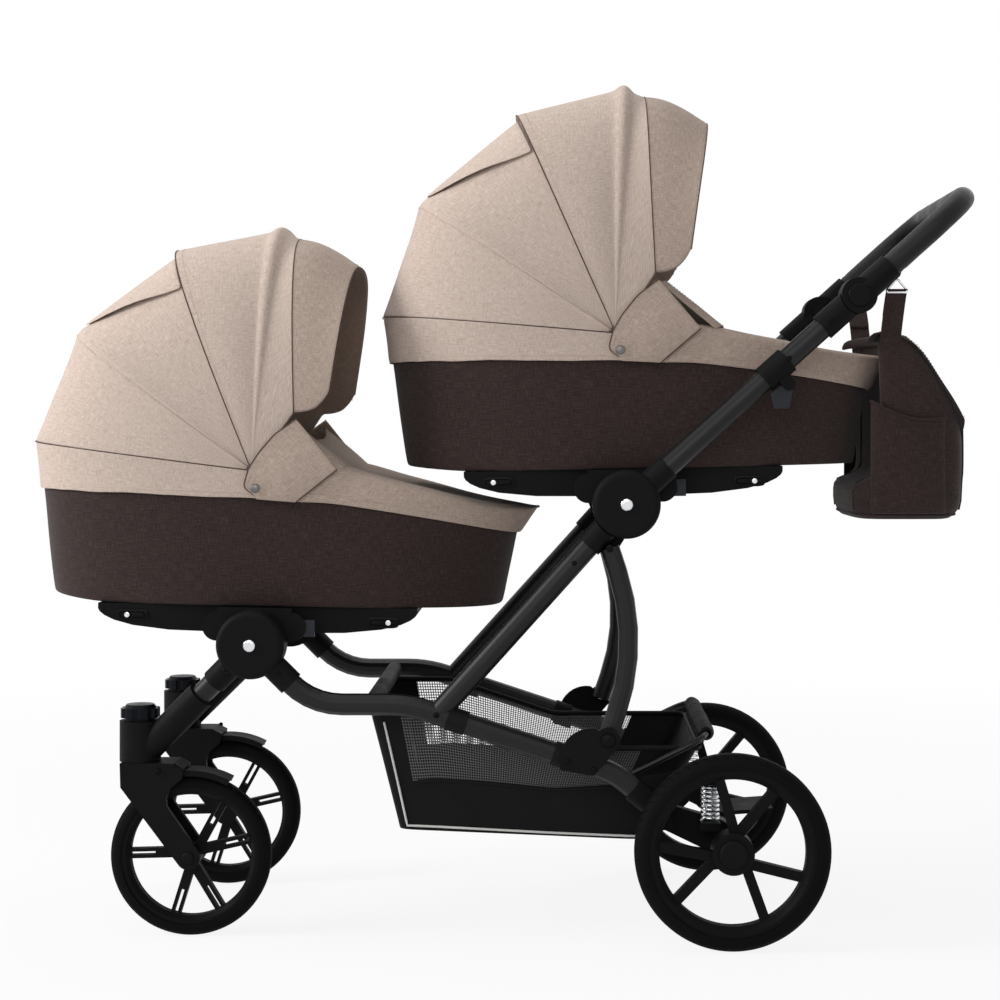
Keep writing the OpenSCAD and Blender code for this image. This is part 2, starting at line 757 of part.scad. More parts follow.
// A spring is one unbroken wire: every ring lies across the helix
function spring_point(t) = let (r = (spring_d - spring_wire) / 2)
    [r * cos(360 * t), r * sin(360 * t), spring_wire / 2 + (spring_len - spring_wire) * t / spring_curls];
spring_steps = spring_curls * curl_rings;
spring_wires = [for (i = [0:spring_steps]) spring_point(i / curl_rings)];
spring_gap = min([for (i = [0:spring_steps - curl_rings + 2])
    for (j = [i + curl_rings - 2:min(i + curl_rings + 2, spring_steps)])
        norm(spring_wires[i] - spring_wires[j])]) - spring_wire;
echo(spring_gap = spring_gap);
function wire_ring(i) = let (p = spring_wires[i], a = 360 * i / curl_rings, out = [cos(a), sin(a), 0])
    let (up = [0, 0, 1])
    [for (k = [0:wire_sides - 1]) let (b = 360 * k / wire_sides)
        p + spring_wire / 2 * (cos(b) * out - sin(b) * up)];
module suspension_springs() {
    color(bright_steel) both() translate([spring_at[0], -tube_y, spring_low])
        mirror([1, 0, 0]) stacked([for (i = [0:spring_steps]) wire_ring(i)]);
}
module brake_pedal() {
    color(plastic_black) difference() {
        union() {
            cross_rod(rear_axle, pedal_ring_r, -pedal_w / 4, pedal_w / 4);
            translate([rear_axle[0], 0, rear_axle[1]]) rotate([0, -pedal_tilt, 0])
                translate([0, -pedal_w / 2, pedal_low]) cube([pedal_reach, pedal_w, pedal_t]);
        }
        cross_rod(rear_axle, axle_tube_d / 2 + run_fit, -pedal_w, pedal_w);
    }
}

// Wheels, built round the origin with the axle along Y
module revolved(profile) {
    rotate([90, 0, 0]) rotate_extrude($fn = wheel_fn) polygon(profile);
}
module tyre(r, w) {
    inner = r * tyre_line_share;
    e = w * tread_round_share;
    crown = concat(arc([r - e, w / 2 - e], e, 90, 0, bend_steps),
        arc([r - e, e - w / 2], e, 0, -90, bend_steps));
    difference() {
        revolved(concat([[inner, w / 2]], crown, [[inner, -w / 2]]));
        for (k = [0:tread_grooves - 1])
            let (z = (k - (tread_grooves - 1) / 2) * (w - 2 * e) * tread_share)
            revolved([[r - groove_deep, z - groove_w / 2], [r + over, z - groove_w / 2],
                [r + over, z + groove_w / 2], [r - groove_deep, z + groove_w / 2]]);
    }
}
module rim_ring(r, w, open_share) {
    out = r * tyre_line_share - run_fit;
    in = r * open_share;
    lip = w * rim_w_share / 2;
    mid = (in + out) / 2;
    revolved([[in, -lip / 2], [mid, -lip], [out, -lip], [out, lip], [mid, lip], [in, lip / 2]]);
}
module spoke(from, to, w, t) {
    u = (to - from) / norm(to - from);
    n = [-u[1], u[0]] * w / 2;
    side(-t / 2) linear_extrude(t) polygon([from - n, to - n, to + n, from + n]);
}
// The two spokes of a pair run out from one point near the hub
function rim_point(r, a) = r * [cos(a), sin(a)];
module rear_rim() {
    r = rear_wheel_d / 2;
    mid = r * (rim_open_share + tyre_line_share) / 2;
    difference() {
        union() {
            rim_ring(r, rear_tyre_w, rim_open_share);
            cross_rod([0, 0], wheel_hub_r, -wheel_hub_w / 2, wheel_hub_w / 2);
            for (k = [0:spoke_pairs - 1], s = [-1, 1])
                let (a = spoke_first + 360 * k / spoke_pairs)
                spoke(rim_point(spoke_root, a), rim_point(mid, a + s * spoke_spread), spoke_w, spoke_t);
        }
        cross_rod([0, 0], axle_r + run_fit, -wheel_hub_w, wheel_hub_w);
    }
    round_disc([0, 0], hub_cap_r, wheel_hub_w / 2 + seat_gap, wheel_hub_w / 2 + hub_cap_h, hub_cap_h / 2);
}
module front_rim() {
    mid = front_r * (front_open_share + tyre_line_share) / 2;
    turns = [for (k = [0:spoke_pairs - 1], s = [-1, 1]) [front_spoke_first + 360 * k / spoke_pairs, s]];
    difference() {
        union() {
            rim_ring(front_r, front_tyre_w, front_open_share);
            cross_rod([0, 0], front_hub_r, -front_hub_w / 2, front_hub_w / 2);
            for (t = turns)
                spoke(rim_point(front_spoke_root, t[0]), rim_point(mid, t[0] + t[1] * front_spoke_spread),
                    front_spoke_w, front_spoke_t);
        }
        for (t = turns)
            let (from = rim_point(front_spoke_root, t[0]))
            let (to = rim_point(mid, t[0] + t[1] * front_spoke_spread))
            spoke(from + (to - from) * slot_from_share, from + (to - from) * slot_to_share,
                front_spoke_slot, 2 * front_spoke_t);
        cross_rod([0, 0], front_axle_r + run_fit, -front_hub_w, front_hub_w);
    }
}
module at_rear_wheel() {
    translate([rear_axle[0], -rear_track / 2, rear_axle[1]]) children();
}
module at_front_wheel() {
    translate([front_axle[0], -front_y, front_axle[1]]) children();
}
module rear_tyre_left() {
    color(tyre_black) at_rear_wheel() tyre(rear_wheel_d / 2, rear_tyre_w);
}
module rear_tyre_right() {
    on_right() rear_tyre_left();
}
module rear_rim_left() {
    color(plastic_black) at_rear_wheel() rear_rim();
}
module rear_rim_right() {
    on_right() rear_rim_left();
}
module front_tyre_left() {
    color(tyre_black) at_front_wheel() tyre(front_r, front_tyre_w);
}
module front_tyre_right() {
    on_right() front_tyre_left();
}
module front_rim_left() {
    color(plastic_black) at_front_wheel() front_rim();
}
module front_rim_right() {
    on_right() front_rim_left();
}

// Front fork with its mudguard, round the wheel's middle plane
module fork_left() {
    half = front_tyre_w / 2 + fork_gap + fork_plate;
    crown = [swivel_x, housing_z - seat_gap];
    edge = fork_boss_r * fork_boss_shares;
    color(plastic_black) {
        difference() {
            plate(front_y - half, front_y + half) {
                polygon(concat([for (p = fork_nose) crown + p], [front_axle - edge, front_axle + edge],
                    [for (p = fork_back) crown + p]));
                translate(front_axle) circle(r = fork_boss_r, $fn = round_fn);
            }
            cross_rod(front_axle, front_r + fork_gap, front_y - half + fork_plate,
                front_y + half - fork_plate);
        }
        cross_rod(front_axle, front_axle_r, front_y - half, front_y + half);
        round_disc(front_axle, front_axle_head_r, front_y + half - over, front_y + half + front_axle_head,
            front_axle_head - over);
        at_swivel(crown[1] - over) cylinder(r = stem_r, h = stem_h + over, $fn = round_fn);
        mudguard();
    }
}
module mudguard() {
    w = front_tyre_w / 2 + fork_gap - seat_gap;
    in = front_r + guard_gap;
    lip = in - guard_lip / 2;
    at_front_wheel() rotate([90, 0, 0]) rotate([0, 0, guard_from])
        rotate_extrude(angle = guard_to - guard_from, $fn = wheel_fn)
            polygon([[in, -w + guard_t], [lip, -w + guard_t], [lip, -w], [in + guard_t, -w],
                [in + guard_t, w], [lip, w], [lip, w - guard_t], [in, w - guard_t]]);
}
module fork_right() {
    on_right() fork_left();
}
module swivel_lock_left() {
    dome_r = lock_r - scallop_deep - over;
    color(lever_grey) at_swivel(housing_top + seat_gap) difference() {
        union() {
            cylinder(r = lock_neck_r, h = lock_h, $fn = round_fn);
            translate([0, 0, lock_neck_h]) linear_extrude(lock_h - lock_neck_h) difference() {
                circle(r = lock_r, $fn = round_fn);
                for (k = [0:lock_scallops - 1])
                    translate(rim_point(lock_r + scallop_r - scallop_deep, 360 * k / lock_scallops))
                        circle(r = scallop_r, $fn = round_fn);
            }
            translate([0, 0, lock_h - over]) rotate_extrude($fn = round_fn)
                polygon([[0, 0], [dome_r, 0], [dome_r, over],
                    [lock_r * lock_dome_shares[0], lock_dome * lock_dome_shares[1]], [0, lock_dome]]);
        }
        translate([0, 0, -over]) cylinder(r = lock_post_r + run_fit, h = lock_post_h + over, $fn = round_fn);
    }
}
module swivel_lock_right() {
    on_right() swivel_lock_left();
}

// Handle
module handle_tubes() {
    color(frame_black) both() difference() {
        side_rod(rear_hub, handle_u, post_root, handle_len - tilt_r - over, tube_d / 2);
        side_rod(rear_hub, handle_u, post_root - over, handle_len, tube_d / 2 - tube_wall);
    }
}
module handle_hubs() {
    color(plastic_black) both() difference() {
        union() {
            round_disc(rear_hub, hub_r, hub_mid_y + seat_gap / 2, hub_out_y, hub_round);
            side_rod(rear_hub, handle_u, sleeve_root, sleeve_reach, sleeve_r);
        }
        cross_rod(rear_hub, hub_r + hub_edge_gap, tube_y - 2 * sleeve_r, hub_mid_y + seat_gap / 2);
        side_rod(rear_hub, handle_u, post_root - over, sleeve_reach + over, tube_d / 2 + run_fit);
        cross_rod(rear_hub, hub_bolt_d / 2 + run_fit, hub_in_y, hub_out_y + over);
    }
}
module tilt_housing() {
    hook = tilt_at + hook_reach;
    hook_n = [-hook_reach[1], hook_reach[0]] / norm(hook_reach) * hook_w / 2;
    difference() {
        union() {
            cross_rod(tilt_at, tilt_r, tilt_in_y, tilt_mid_y - seat_gap / 2);
            side_rod(tilt_at, -handle_u, tilt_r / 2, tilt_sleeve, tilt_sleeve_r);
            plate(hook_from_y, hook_to_y) {
                polygon([tilt_at - hook_n, hook - hook_n, hook + hook_n, tilt_at + hook_n]);
                translate(tilt_at) circle(r = hook_w, $fn = round_fn);
                translate(hook) circle(r = hook_w / 2, $fn = round_fn);
            }
            cross_rod(tilt_at, hook_w, hook_from_y, tilt_in_y + over);
            cross_rod(tilt_at, tilt_pin_r, tilt_in_y, tilt_out_y - button_recess - seat_gap);
        }
        difference() {
            cross_rod(tilt_at, tilt_r + hub_edge_gap, tilt_mid_y - seat_gap / 2, tilt_out_y + tilt_r);
            cross_rod(tilt_at, tilt_pin_r, tilt_in_y, tilt_out_y);
        }
        side_rod(tilt_at, -handle_u, tilt_r, tilt_sleeve + over, tube_d / 2 + run_fit);
    }
}
module trigger_clamp() {
    pin = rear_hub + handle_u * trigger_along + handle_n * trigger_drop;
    ear_y = trigger_half + seat_gap;
    side = handle_u * trigger_ear_r;
    rise = handle_n * trigger_drop / 2;
    difference() {
        union() {
            side_rod(rear_hub, handle_u, trigger_along - trigger_len / 2, trigger_along + trigger_len / 2,
                trigger_clamp_r);
            for (s = [-1, 1]) let (y = tube_y + s * (ear_y + trigger_ear / 2)) {
                cross_rod(pin, trigger_ear_r, y - trigger_ear / 2, y + trigger_ear / 2);
                plate(y - trigger_ear / 2, y + trigger_ear / 2)
                    polygon([pin - side, pin + side, pin + side - rise, pin - side - rise]);
            }
            cross_rod(pin, trigger_pin_r, tube_y - ear_y - trigger_ear, tube_y + ear_y + trigger_ear);
        }
        side_rod(rear_hub, handle_u, 0, handle_len, tube_d / 2 + run_fit);
    }
}
module handle_fittings() {
    color(plastic_black) both() {
        tilt_housing();
        trigger_clamp();
    }
}
module fold_triggers() {
    pin = rear_hub + handle_u * trigger_along + handle_n * trigger_drop;
    r = trigger_ear_r - over;
    color(lever_grey) both() difference() {
        plate(tube_y - trigger_half, tube_y + trigger_half) {
            translate(pin) circle(r = r, $fn = round_fn);
            polygon([pin + [-r, 0], pin + [-tongue_w, -tongue_len * tongue_knee_share],
                pin + [-tongue_w * tongue_end_share, -tongue_len], pin + [0, -tongue_len], pin + [r, 0]]);
        }
        cross_rod(pin, trigger_pin_r + run_fit, 0, 2 * tube_y);
    }
}
// The grip, drawn in its own plane: x along the arms, y across
module in_grip_plane() {
    translate([tilt_at[0], 0, tilt_at[1]]) rotate([0, -handle_angle, 0]) children();
}
grip_bends = [0, grip_bend, grip_bend, 0];
function grip_stations(from) = tube_stations(
    [[from, -tube_y], [grip_len, -tube_y], [grip_len, tube_y], [from, tube_y]], grip_bends);
grip_start = tilt_arm_sleeve + seat_gap;
module grip_bar() {
    color(bright_steel) in_grip_plane()
        swept(grip_stations(tilt_r + 3 * over), grip_core_d, grip_core_d - 2 * tube_wall, tube_sides);
}
module grip_cover() {
    color(plastic_black) in_grip_plane()
        swept(grip_stations(grip_start), grip_d, grip_core_d + 2 * seat_gap, tube_sides);
}
module tilt_arms() {
    color(plastic_black) both() difference() {
        union() {
            round_disc(tilt_at, tilt_r, tilt_mid_y + seat_gap / 2, tilt_out_y, over);
            side_rod(tilt_at, handle_u, tilt_r / 2, tilt_arm_sleeve, tilt_sleeve_r);
        }
        cross_rod(tilt_at, tilt_r + hub_edge_gap, tilt_in_y - tilt_r, tilt_mid_y + seat_gap / 2);
        cross_rod(tilt_at, tilt_pin_r + run_fit, tilt_in_y, tilt_out_y + tilt_r);
        cross_rod(tilt_at, button_r + run_fit, tilt_out_y - button_recess, tilt_out_y + tilt_r);
        side_rod(tilt_at, handle_u, tilt_r + 2 * over, tilt_arm_sleeve + over, grip_core_d / 2 + run_fit);
    }
}
module tilt_button_left() {
    low = tilt_out_y - button_sink;
    color(plastic_black) round_disc(tilt_at, button_r, low, low + button_h, 2 * over);
}
module tilt_button_right() {
    on_right() tilt_button_left();
}

// Bag hung from the hooks inside the handle, hollowed towards the foot end of the rear carrycot
function bag_ring(rise, share) = let (deep = bag_depth + (bag_top_depth - bag_depth) * rise)
    [for (k = [0:bag_points - 1]) let (a = 360 * k / bag_points, c = cos(a), s = sin(a), e = 2 / bag_power)
        let (y = bag_w / 2 * share * sign(s) * pow(abs(s), e))
        let (x = bag_front + deep / 2 * (1 + share * sign(c) * pow(abs(c), e)))
        [x - bag_bow * pow(2 * y / bag_w, 2), y, bag_top - bag_h * (1 - rise)]];
module bag() {
    rings = [for (i = [0:len(bag_shares) - 1]) bag_ring(bag_rise_shares[i], bag_shares[i])];
    color(brown_cloth) stacked(rings);
}
ring_y = (hook_from_y + hook_to_y) / 2;
ring_top = tilt_at[1] + hook_reach[1] - hook_w / 2 - over - seat_gap;
module bag_straps() {
    face_y = bag_w / 2 + seat_gap;
    foot = bag_top - bag_h / 3;
    head = ring_top - ring_h - seat_gap;
    color(brown_cloth) both() {
        translate([strap_x + strap_w / 2, 0, 0]) rotate([90, 0, -90]) linear_extrude(strap_w)
            polygon([[face_y, foot], [face_y + strap_t, foot], [face_y + strap_t, bag_top],
                [ring_y + strap_t / 2, head], [ring_y - strap_t / 2, head], [face_y, bag_top + strap_t]]);
        translate([strap_x, -ring_y, ring_top - ring_h / 2]) bag_hook_ring();
    }
}
module bag_hook_ring() {
    corners = [[-ring_w / 2, -ring_h / 2], [ring_w / 2, -ring_h / 2], [0, ring_h / 2]];
    rotate([90, 0, 0]) translate([0, 0, -ring_wire / 2]) linear_extrude(ring_wire) difference() {
        polygon(corners);
        polygon([for (c = corners) c * ring_open_share + [0, -ring_h * ring_drop_share]]);
    }
}

// Carrycots, drawn round the middle of their hubs
module at_front_cot() {
    translate([front_hub[0], 0, front_hub[1]]) rotate([0, cot_tilt, 0]) children();
}
module at_rear_cot() {
    translate([rear_hub[0], 0, rear_hub[1]]) rotate([0, -cot_tilt, 0]) children();
}
// A point of the oval plan, grown by g, at an angle
function plan_at(a, g) = let (c = cos(a), s = sin(a), e = 2 / plan_power)
    let (reach = (c < 0 ? cot_a[0] : cot_a[1]) + g)
    [sign(c) * reach * pow(abs(c), e), sign(s) * (cot_b + g) * pow(abs(s), e)];
// Half width of the plan, grown by g, at a distance from the hub
function plan_half(x, g) = let (a = (x < 0 ? cot_a[0] : cot_a[1]) + g)
    (cot_b + g) * pow(max(0, 1 - pow(min(abs(x) / a, 1), plan_power)), 1 / plan_power);
function edge_z(x) = x < 0 ? cot_edge + edge_head_rise * x / -cot_head
    : cot_edge - edge_foot_drop * pow(min(x / cot_foot, 1), edge_power);
function tub_ring(z_share, plan_share, g, low) =
    [for (k = [0:cot_points - 1]) let (p = plan_at(360 * k / cot_points, g) * plan_share)
        [p[0], p[1], low + (edge_z(p[0]) - low) * z_share]];
module cot_tub() {
    low = cot_bottom;
    mid_share = tub_round_h / (cot_edge - cot_bottom);
    turn_share = (tub_round_share + tub_taper_share) / 2;
    color(brown_cloth) stacked([
        tub_ring(0, tub_round_share, 0, low), tub_ring(mid_share / 3, turn_share, 0, low),
        tub_ring(mid_share, tub_taper_share, 0, low), tub_ring(1, 1, 0, low),
        tub_ring(1, 1, -cot_wall, low), tub_ring(mid_share, tub_taper_share, -cot_wall, low),
        tub_ring(0, tub_round_share, -cot_wall, low + cot_floor)]);
}
module cot_mattress() {
    low = cot_bottom + cot_floor + seat_gap;
    g = -cot_wall - mattress_gap;
    function ring(z, plan_share) = [for (k = [0:cot_points - 1])
        let (p = plan_at(360 * k / cot_points, g) * plan_share) [p[0], p[1], z]];
    top = low + mattress_h;
    s = tub_round_share;
    color(lining_white) stacked([ring(low, s * mattress_shares[0]),
        ring(low + mattress_h * mattress_rise_shares[0], s),
        ring(low + mattress_h * mattress_rise_shares[1], s), ring(top, s * mattress_shares[1]),
        ring(top + mattress_crown * mattress_crown_share, s * mattress_shares[2]),
        ring(top + mattress_crown, s * mattress_shares[3])]);
}
// Band round the head half, from one hood pivot to the other, meeting the hood along its lower edge
module cot_skirt() {
    angles = [for (i = [0:skirt_steps]) skirt_from + (360 - 2 * skirt_from) * i / skirt_steps];
    function strip(grow) = [for (a = angles)
        let (p = plan_at(a, grow), lean = max(0, -p[0] / cot_head))
        let (q = plan_at(a, grow + skirt_flare * lean * lean))
        [[p[0], p[1], edge_z(p[0]) - skirt_lap],
            [q[0], q[1], pivot_z + (pivot_x - q[0]) * tan(180 - bow_angles[0])]]];
    draped(strip(skin_gap + skirt_t), strip(skin_gap));
}
// A hoop of the hood from one side over to the other, an oval of the same power as the plan
function hoop(foot, top, half) =
    [for (i = [-len(hoop_shares) + 1:len(hoop_shares) - 1])
        let (t = hoop_shares[len(hoop_shares) - 1 - abs(i)], p = foot + (top - foot) * t)
        [p[0], sign(i) * half * pow(max(0, 1 - pow(t, plan_power)), 1 / plan_power), p[1]]];
hood_pivot = [pivot_x, pivot_z];
function on_hood(a, r) = hood_pivot + r * [cos(a), sin(a)];
// Radius of a panel stretched between two hoops
function panel_r(a, from, to, r) = r * cos((from - to) / 2) / cos(a - (from + to) / 2);
function panel_angles(from, to) = [for (i = [0:panel_steps - 1]) from + (to - from) * i / panel_steps];
function rear_hood_r(a, r) = a > bow_angles[1]
    ? panel_r(a, bow_angles[0], bow_angles[1], r)
    : panel_r(a, bow_angles[1], bow_angles[2], r);
module cot_hood_shell() {
    angles = concat(panel_angles(bow_angles[0], bow_angles[1]), panel_angles(bow_angles[1], bow_angles[2]),
        [bow_angles[2]]);
    foot = hood_pivot + [0, 2 * seat_gap];
    function hoops(t) = [for (a = angles)
        hoop(foot, foot + (rear_hood_r(a, hood_r) - t) * [cos(a), sin(a)], hood_half - t)];
    color(beige_cloth) {
        draped(hoops(0), hoops(hood_t));
        cot_skirt();
    }
}
// The front section bulges a little at its bow and slides back over the fixed panels
function front_hood_top(a, t) = let (off = (a - front_bow) / (bow_angles[2] + hood_lap - front_bow))
    on_hood(a, front_hood_r - t + (a < front_bow ? 0 : hood_bulge * (1 - off * off)));
module cot_hood_front() {
    back = bow_angles[2] + hood_lap;
    back_angles = [for (i = [0:panel_steps - 1]) back + (front_bow - back) * i / (panel_steps - 1)];
    feet = concat([for (a = back_angles) hood_pivot], visor_side);
    tops = concat(back_angles, visor_top_angles);
    function hoops(t) = [for (i = [0:len(feet) - 1])
        hoop(feet[i], front_hood_top(tops[i], t), front_hood_half - t)];
    color(beige_cloth) draped(hoops(0), hoops(hood_t));
}
// The hoop that carries the front of the hood, in a sleeve along the seam, with its pivot discs
module cot_hood_bow() {
    off = bow_wire / 2 + 2 * seat_gap;
    half = front_hood_half + off;
    r = front_hood_r + hood_bulge + off;
    function place(a) = let (e = 2 / plan_power)
        [r * pow(sin(a), e), half * (a < 90 ? -1 : 1) * pow(abs(cos(a)), e)];
    bow_to = 180 - bow_from;
    angles = [for (i = [0:bow_steps]) bow_from + (bow_to - bow_from) * i / bow_steps];
    stations = [for (a = angles)
        [place(a), heading(place(max(a - over, bow_from)), place(min(a + over, bow_to)))]];
    color(beige_cloth) {
        translate([pivot_x, 0, pivot_z]) rotate([0, -front_bow, 0]) swept(stations, bow_wire, 0, rail_sides);
        both() {
            cross_rod(hood_pivot, bow_pin_r, hood_half + seat_gap, front_hood_half + bow_disc_t);
            cross_rod(hood_pivot, bow_disc_r, front_hood_half + seat_gap,
                front_hood_half + seat_gap + bow_disc_t);
        }
    }
}
// Cover over the foot half, with a flap that stands up inside the hood and a closed foot end
function flap_share(x) = pow(max(0, 1 - (x - apron_from) / flap_run), 2);
function apron_end(g) = cot_foot + g;
function apron_crown(x, g) = let (end = apron_end(g), over_end = max(0, x - end + apron_round))
    edge_z(x) + apron_crown_h * (1 - apron_fall_share * x / end) + flap_rise * flap_share(x) + g
    - apron_round + sqrt(max(0, apron_round * apron_round - over_end * over_end));
function apron_arch(x, g) =
    let (half = plan_half(x, g), low = edge_z(x) - apron_lap, top = apron_crown(x, g))
    let (side_z = low + (top - low) * apron_side_share, lean = flap_lean * flap_share(x))
    let (n = apron_arch_steps)
    [for (i = [-n:n]) let (u = min(abs(i) / (n - 2), 1), s = sign(i))
        let (z = abs(i) == n ? low : abs(i) == n - 1 ? (low + side_z) / 2
            : side_z + (top - side_z) * (1 - pow(u, apron_powers[0])))
        let (y = u < 1 ? half * pow(u, apron_powers[1]) : half)
        [x + lean * (z - low) / (top - low), s * y, z]];
module cot_apron() {
    function arches(g) = [for (i = [0:apron_steps]) let (t = 1 - i / apron_steps, end = apron_end(g))
        let (last = i == apron_steps ? over / 100 : 0)
        apron_arch(apron_from + (end - apron_from) * (1 - pow(t, apron_step_power)) - last, g)];
    color(beige_cloth) draped(arches(skin_gap + apron_t), arches(skin_gap));
}
// Base tray under the carrycot
module cot_base() {
    top = cot_bottom - seat_gap;
    mid = (base_from + base_to) / 2;
    span = (base_to - base_from) / 2;
    sag = base_deep - base_lip;
    function belly(inset) = [for (s = belly_shares)
        let (deep = base_lip + sag * pow(1 - pow(abs(s), base_powers[0]), base_powers[1]))
        [mid + s * (span - inset), top - deep + inset]];
    color(plastic_black) difference() {
        plate(-base_half, base_half) polygon(concat(belly(0), [[base_to, top], [base_from, top]]));
        plate(-base_half + base_wall, base_half - base_wall)
            polygon(concat(belly(base_wall),
                [[base_to - base_wall, top + over], [base_from + base_wall, top + over]]));
    }
}
// Side brackets that drop over the tongues of the hubs
module cot_brackets() {
    out = hub_in_y - seat_gap;
    in = out - bracket_t;
    top = cot_bottom - seat_gap;
    low = lobe_z - lobe_r;
    slot_y = (in + out + tab_t) / 2 + seat_gap;
    slot_from = tab_from - tab_travel - seat_gap;
    color(plastic_black) both() difference() {
        union() {
            plate(in, out) {
                for (s = [-1, 1])
                    translate([s * lobe_at, lobe_z]) circle(r = lobe_r, $fn = round_fn);
                translate([-lobe_at, low]) square([2 * lobe_at, top - low]);
            }
            translate([-lobe_at, -in - over, flange_z]) cube([2 * lobe_at, flange_reach + over, flange_t]);
        }
        translate([-tongue_half - seat_gap, -out - over, low - over])
            cube([2 * (tongue_half + seat_gap), tongue_deep + 2 * seat_gap + over,
                tongue_top + seat_gap - low + over]);
        translate([slot_from, -slot_y, tab_low - seat_gap])
            cube([lobe_at + lobe_r - slot_from + over, tab_t + 2 * seat_gap,
                tab_top - tab_low + 2 * seat_gap]);
    }
}
module cot_release_tabs() {
    y = hub_in_y - seat_gap - bracket_t / 2;
    color(lever_grey) both() translate([tab_from, -y - tab_t / 2, tab_low])
        cube([tab_to - tab_from, tab_t, tab_top - tab_low]);
}
module front_tub() {
    at_front_cot() cot_tub();
}
module front_base() {
    at_front_cot() cot_base();
}
module front_brackets() {
    at_front_cot() cot_brackets();
}
module front_mattress() {
    at_front_cot() cot_mattress();
}
module front_apron() {
    at_front_cot() cot_apron();
}
module front_hood_shell() {
    at_front_cot() cot_hood_shell();
}
module front_hood_front() {
    at_front_cot() cot_hood_front();
}
module front_hood_bow() {
    at_front_cot() cot_hood_bow();
}
module front_release_tabs() {
    at_front_cot() cot_release_tabs();
}
module rear_tub() {
    at_rear_cot() cot_tub();
}
module rear_base() {
    at_rear_cot() cot_base();
}
module rear_brackets_cot() {
    at_rear_cot() cot_brackets();
}
module rear_mattress() {
    at_rear_cot() cot_mattress();
}
module rear_apron() {
    at_rear_cot() cot_apron();
}
module rear_hood_shell() {
    at_rear_cot() cot_hood_shell();
}
module rear_hood_front() {
    at_rear_cot() cot_hood_front();
}
module rear_hood_bow() {
    at_rear_cot() cot_hood_bow();
}
module rear_release_tabs() {
    at_rear_cot() cot_release_tabs();
}

main_tubes();
seat_posts();
rear_legs();
leg_plates();
front_hubs();
rear_hubs();
front_legs();
swivel_housings();
front_crossbar();
basket();
basket_rail();
rear_brackets();
frame_bolts();
handle_tubes();
handle_hubs();
handle_fittings();
fold_triggers();
grip_bar();
grip_cover();
tilt_arms();
tilt_button_left();
tilt_button_right();
bag();
bag_straps();
fork_left();
fork_right();
front_tyre_left();
front_tyre_right();
front_rim_left();
front_rim_right();
swivel_lock_left();
swivel_lock_right();
rear_tyre_left();
rear_tyre_right();
rear_rim_left();
rear_rim_right();
swing_arms();
rear_axle();
suspension_springs();
brake_pedal();
front_tub();
front_base();
front_brackets();
front_mattress();
front_apron();
front_hood_shell();
front_hood_front();
front_hood_bow();
front_release_tabs();
rear_tub();
rear_base();
rear_brackets_cot();
rear_mattress();
rear_apron();
rear_hood_shell();
rear_hood_front();
rear_hood_bow();
rear_release_tabs();
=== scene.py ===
import bmesh
import bpy
import json
from math import asin, copysign, cos, dist, exp, pi, radians, sin, tan
import numpy as np
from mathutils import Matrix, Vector, noise


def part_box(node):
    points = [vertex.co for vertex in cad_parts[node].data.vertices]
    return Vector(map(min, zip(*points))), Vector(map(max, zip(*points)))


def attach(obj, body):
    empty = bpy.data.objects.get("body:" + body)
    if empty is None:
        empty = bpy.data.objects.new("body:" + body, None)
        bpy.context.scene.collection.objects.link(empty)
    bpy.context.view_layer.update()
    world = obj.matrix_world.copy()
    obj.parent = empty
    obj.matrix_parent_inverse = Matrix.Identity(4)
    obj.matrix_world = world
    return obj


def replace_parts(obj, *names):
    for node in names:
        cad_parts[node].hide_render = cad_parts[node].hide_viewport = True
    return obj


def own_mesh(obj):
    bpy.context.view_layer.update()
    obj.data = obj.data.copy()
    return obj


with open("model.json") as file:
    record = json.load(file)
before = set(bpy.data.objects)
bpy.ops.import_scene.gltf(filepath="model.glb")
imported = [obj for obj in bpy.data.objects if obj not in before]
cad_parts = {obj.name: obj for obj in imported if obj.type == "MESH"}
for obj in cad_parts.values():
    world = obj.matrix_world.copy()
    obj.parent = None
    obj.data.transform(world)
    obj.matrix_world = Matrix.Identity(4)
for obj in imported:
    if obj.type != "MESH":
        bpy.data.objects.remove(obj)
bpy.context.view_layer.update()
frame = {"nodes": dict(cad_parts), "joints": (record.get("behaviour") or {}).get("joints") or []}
nodes = frame["nodes"]
joints = {j["name"]: j for j in frame["joints"]}
scene = bpy.context.scene
print("frame loaded,", len(nodes), "nodes")

# camera
cameraPlan = {"place": (0.0995, -3.3035, 0.769), "lens": 74.0, "sensor": 36.0, "shift": (-0.055, -0.072)}


def placeCamera(plan):
    data = bpy.data.cameras.new("camera")
    data.lens = plan["lens"]
    data.sensor_width = plan["sensor"]
    data.shift_x, data.shift_y = plan["shift"]
    cam = bpy.data.objects.new("camera", data)
    cam.location = plan["place"]
    cam.rotation_euler = (radians(90), 0, 0)
    scene.collection.objects.link(cam)
    scene.camera = cam


placeCamera(cameraPlan)


# shader maths as expressions
class Wire:
    def __init__(self, finish, socket):
        self.finish = finish
        self.socket = socket

    def math(self, operation, *others):
        return self.finish.node("ShaderNodeMath", {"operation": operation}, dict(enumerate((self,) + others)))[0]

    def __add__(self, other):
        return self.math("ADD", other)

    def __sub__(self, other):
        return self.math("SUBTRACT", other)

    def __mul__(self, other):
        return self.math("MULTIPLY", other)

    def __pow__(self, other):
        return self.math("POWER", other)

    def __gt__(self, other):
        return self.math("GREATER_THAN", other)

    def __rsub__(self, other):
        return self.math("MULTIPLY_ADD", -1.0, other)

    __radd__ = __add__
    __rmul__ = __mul__

    def sin(self):
        return self.math("SINE")

    def abs(self):
        return self.math("ABSOLUTE")


class Outputs:
    def __init__(self, finish, node):
        self.finish = finish
        self.made = node

    def __getitem__(self, key):
        return Wire(self.finish, self.made.outputs[key])


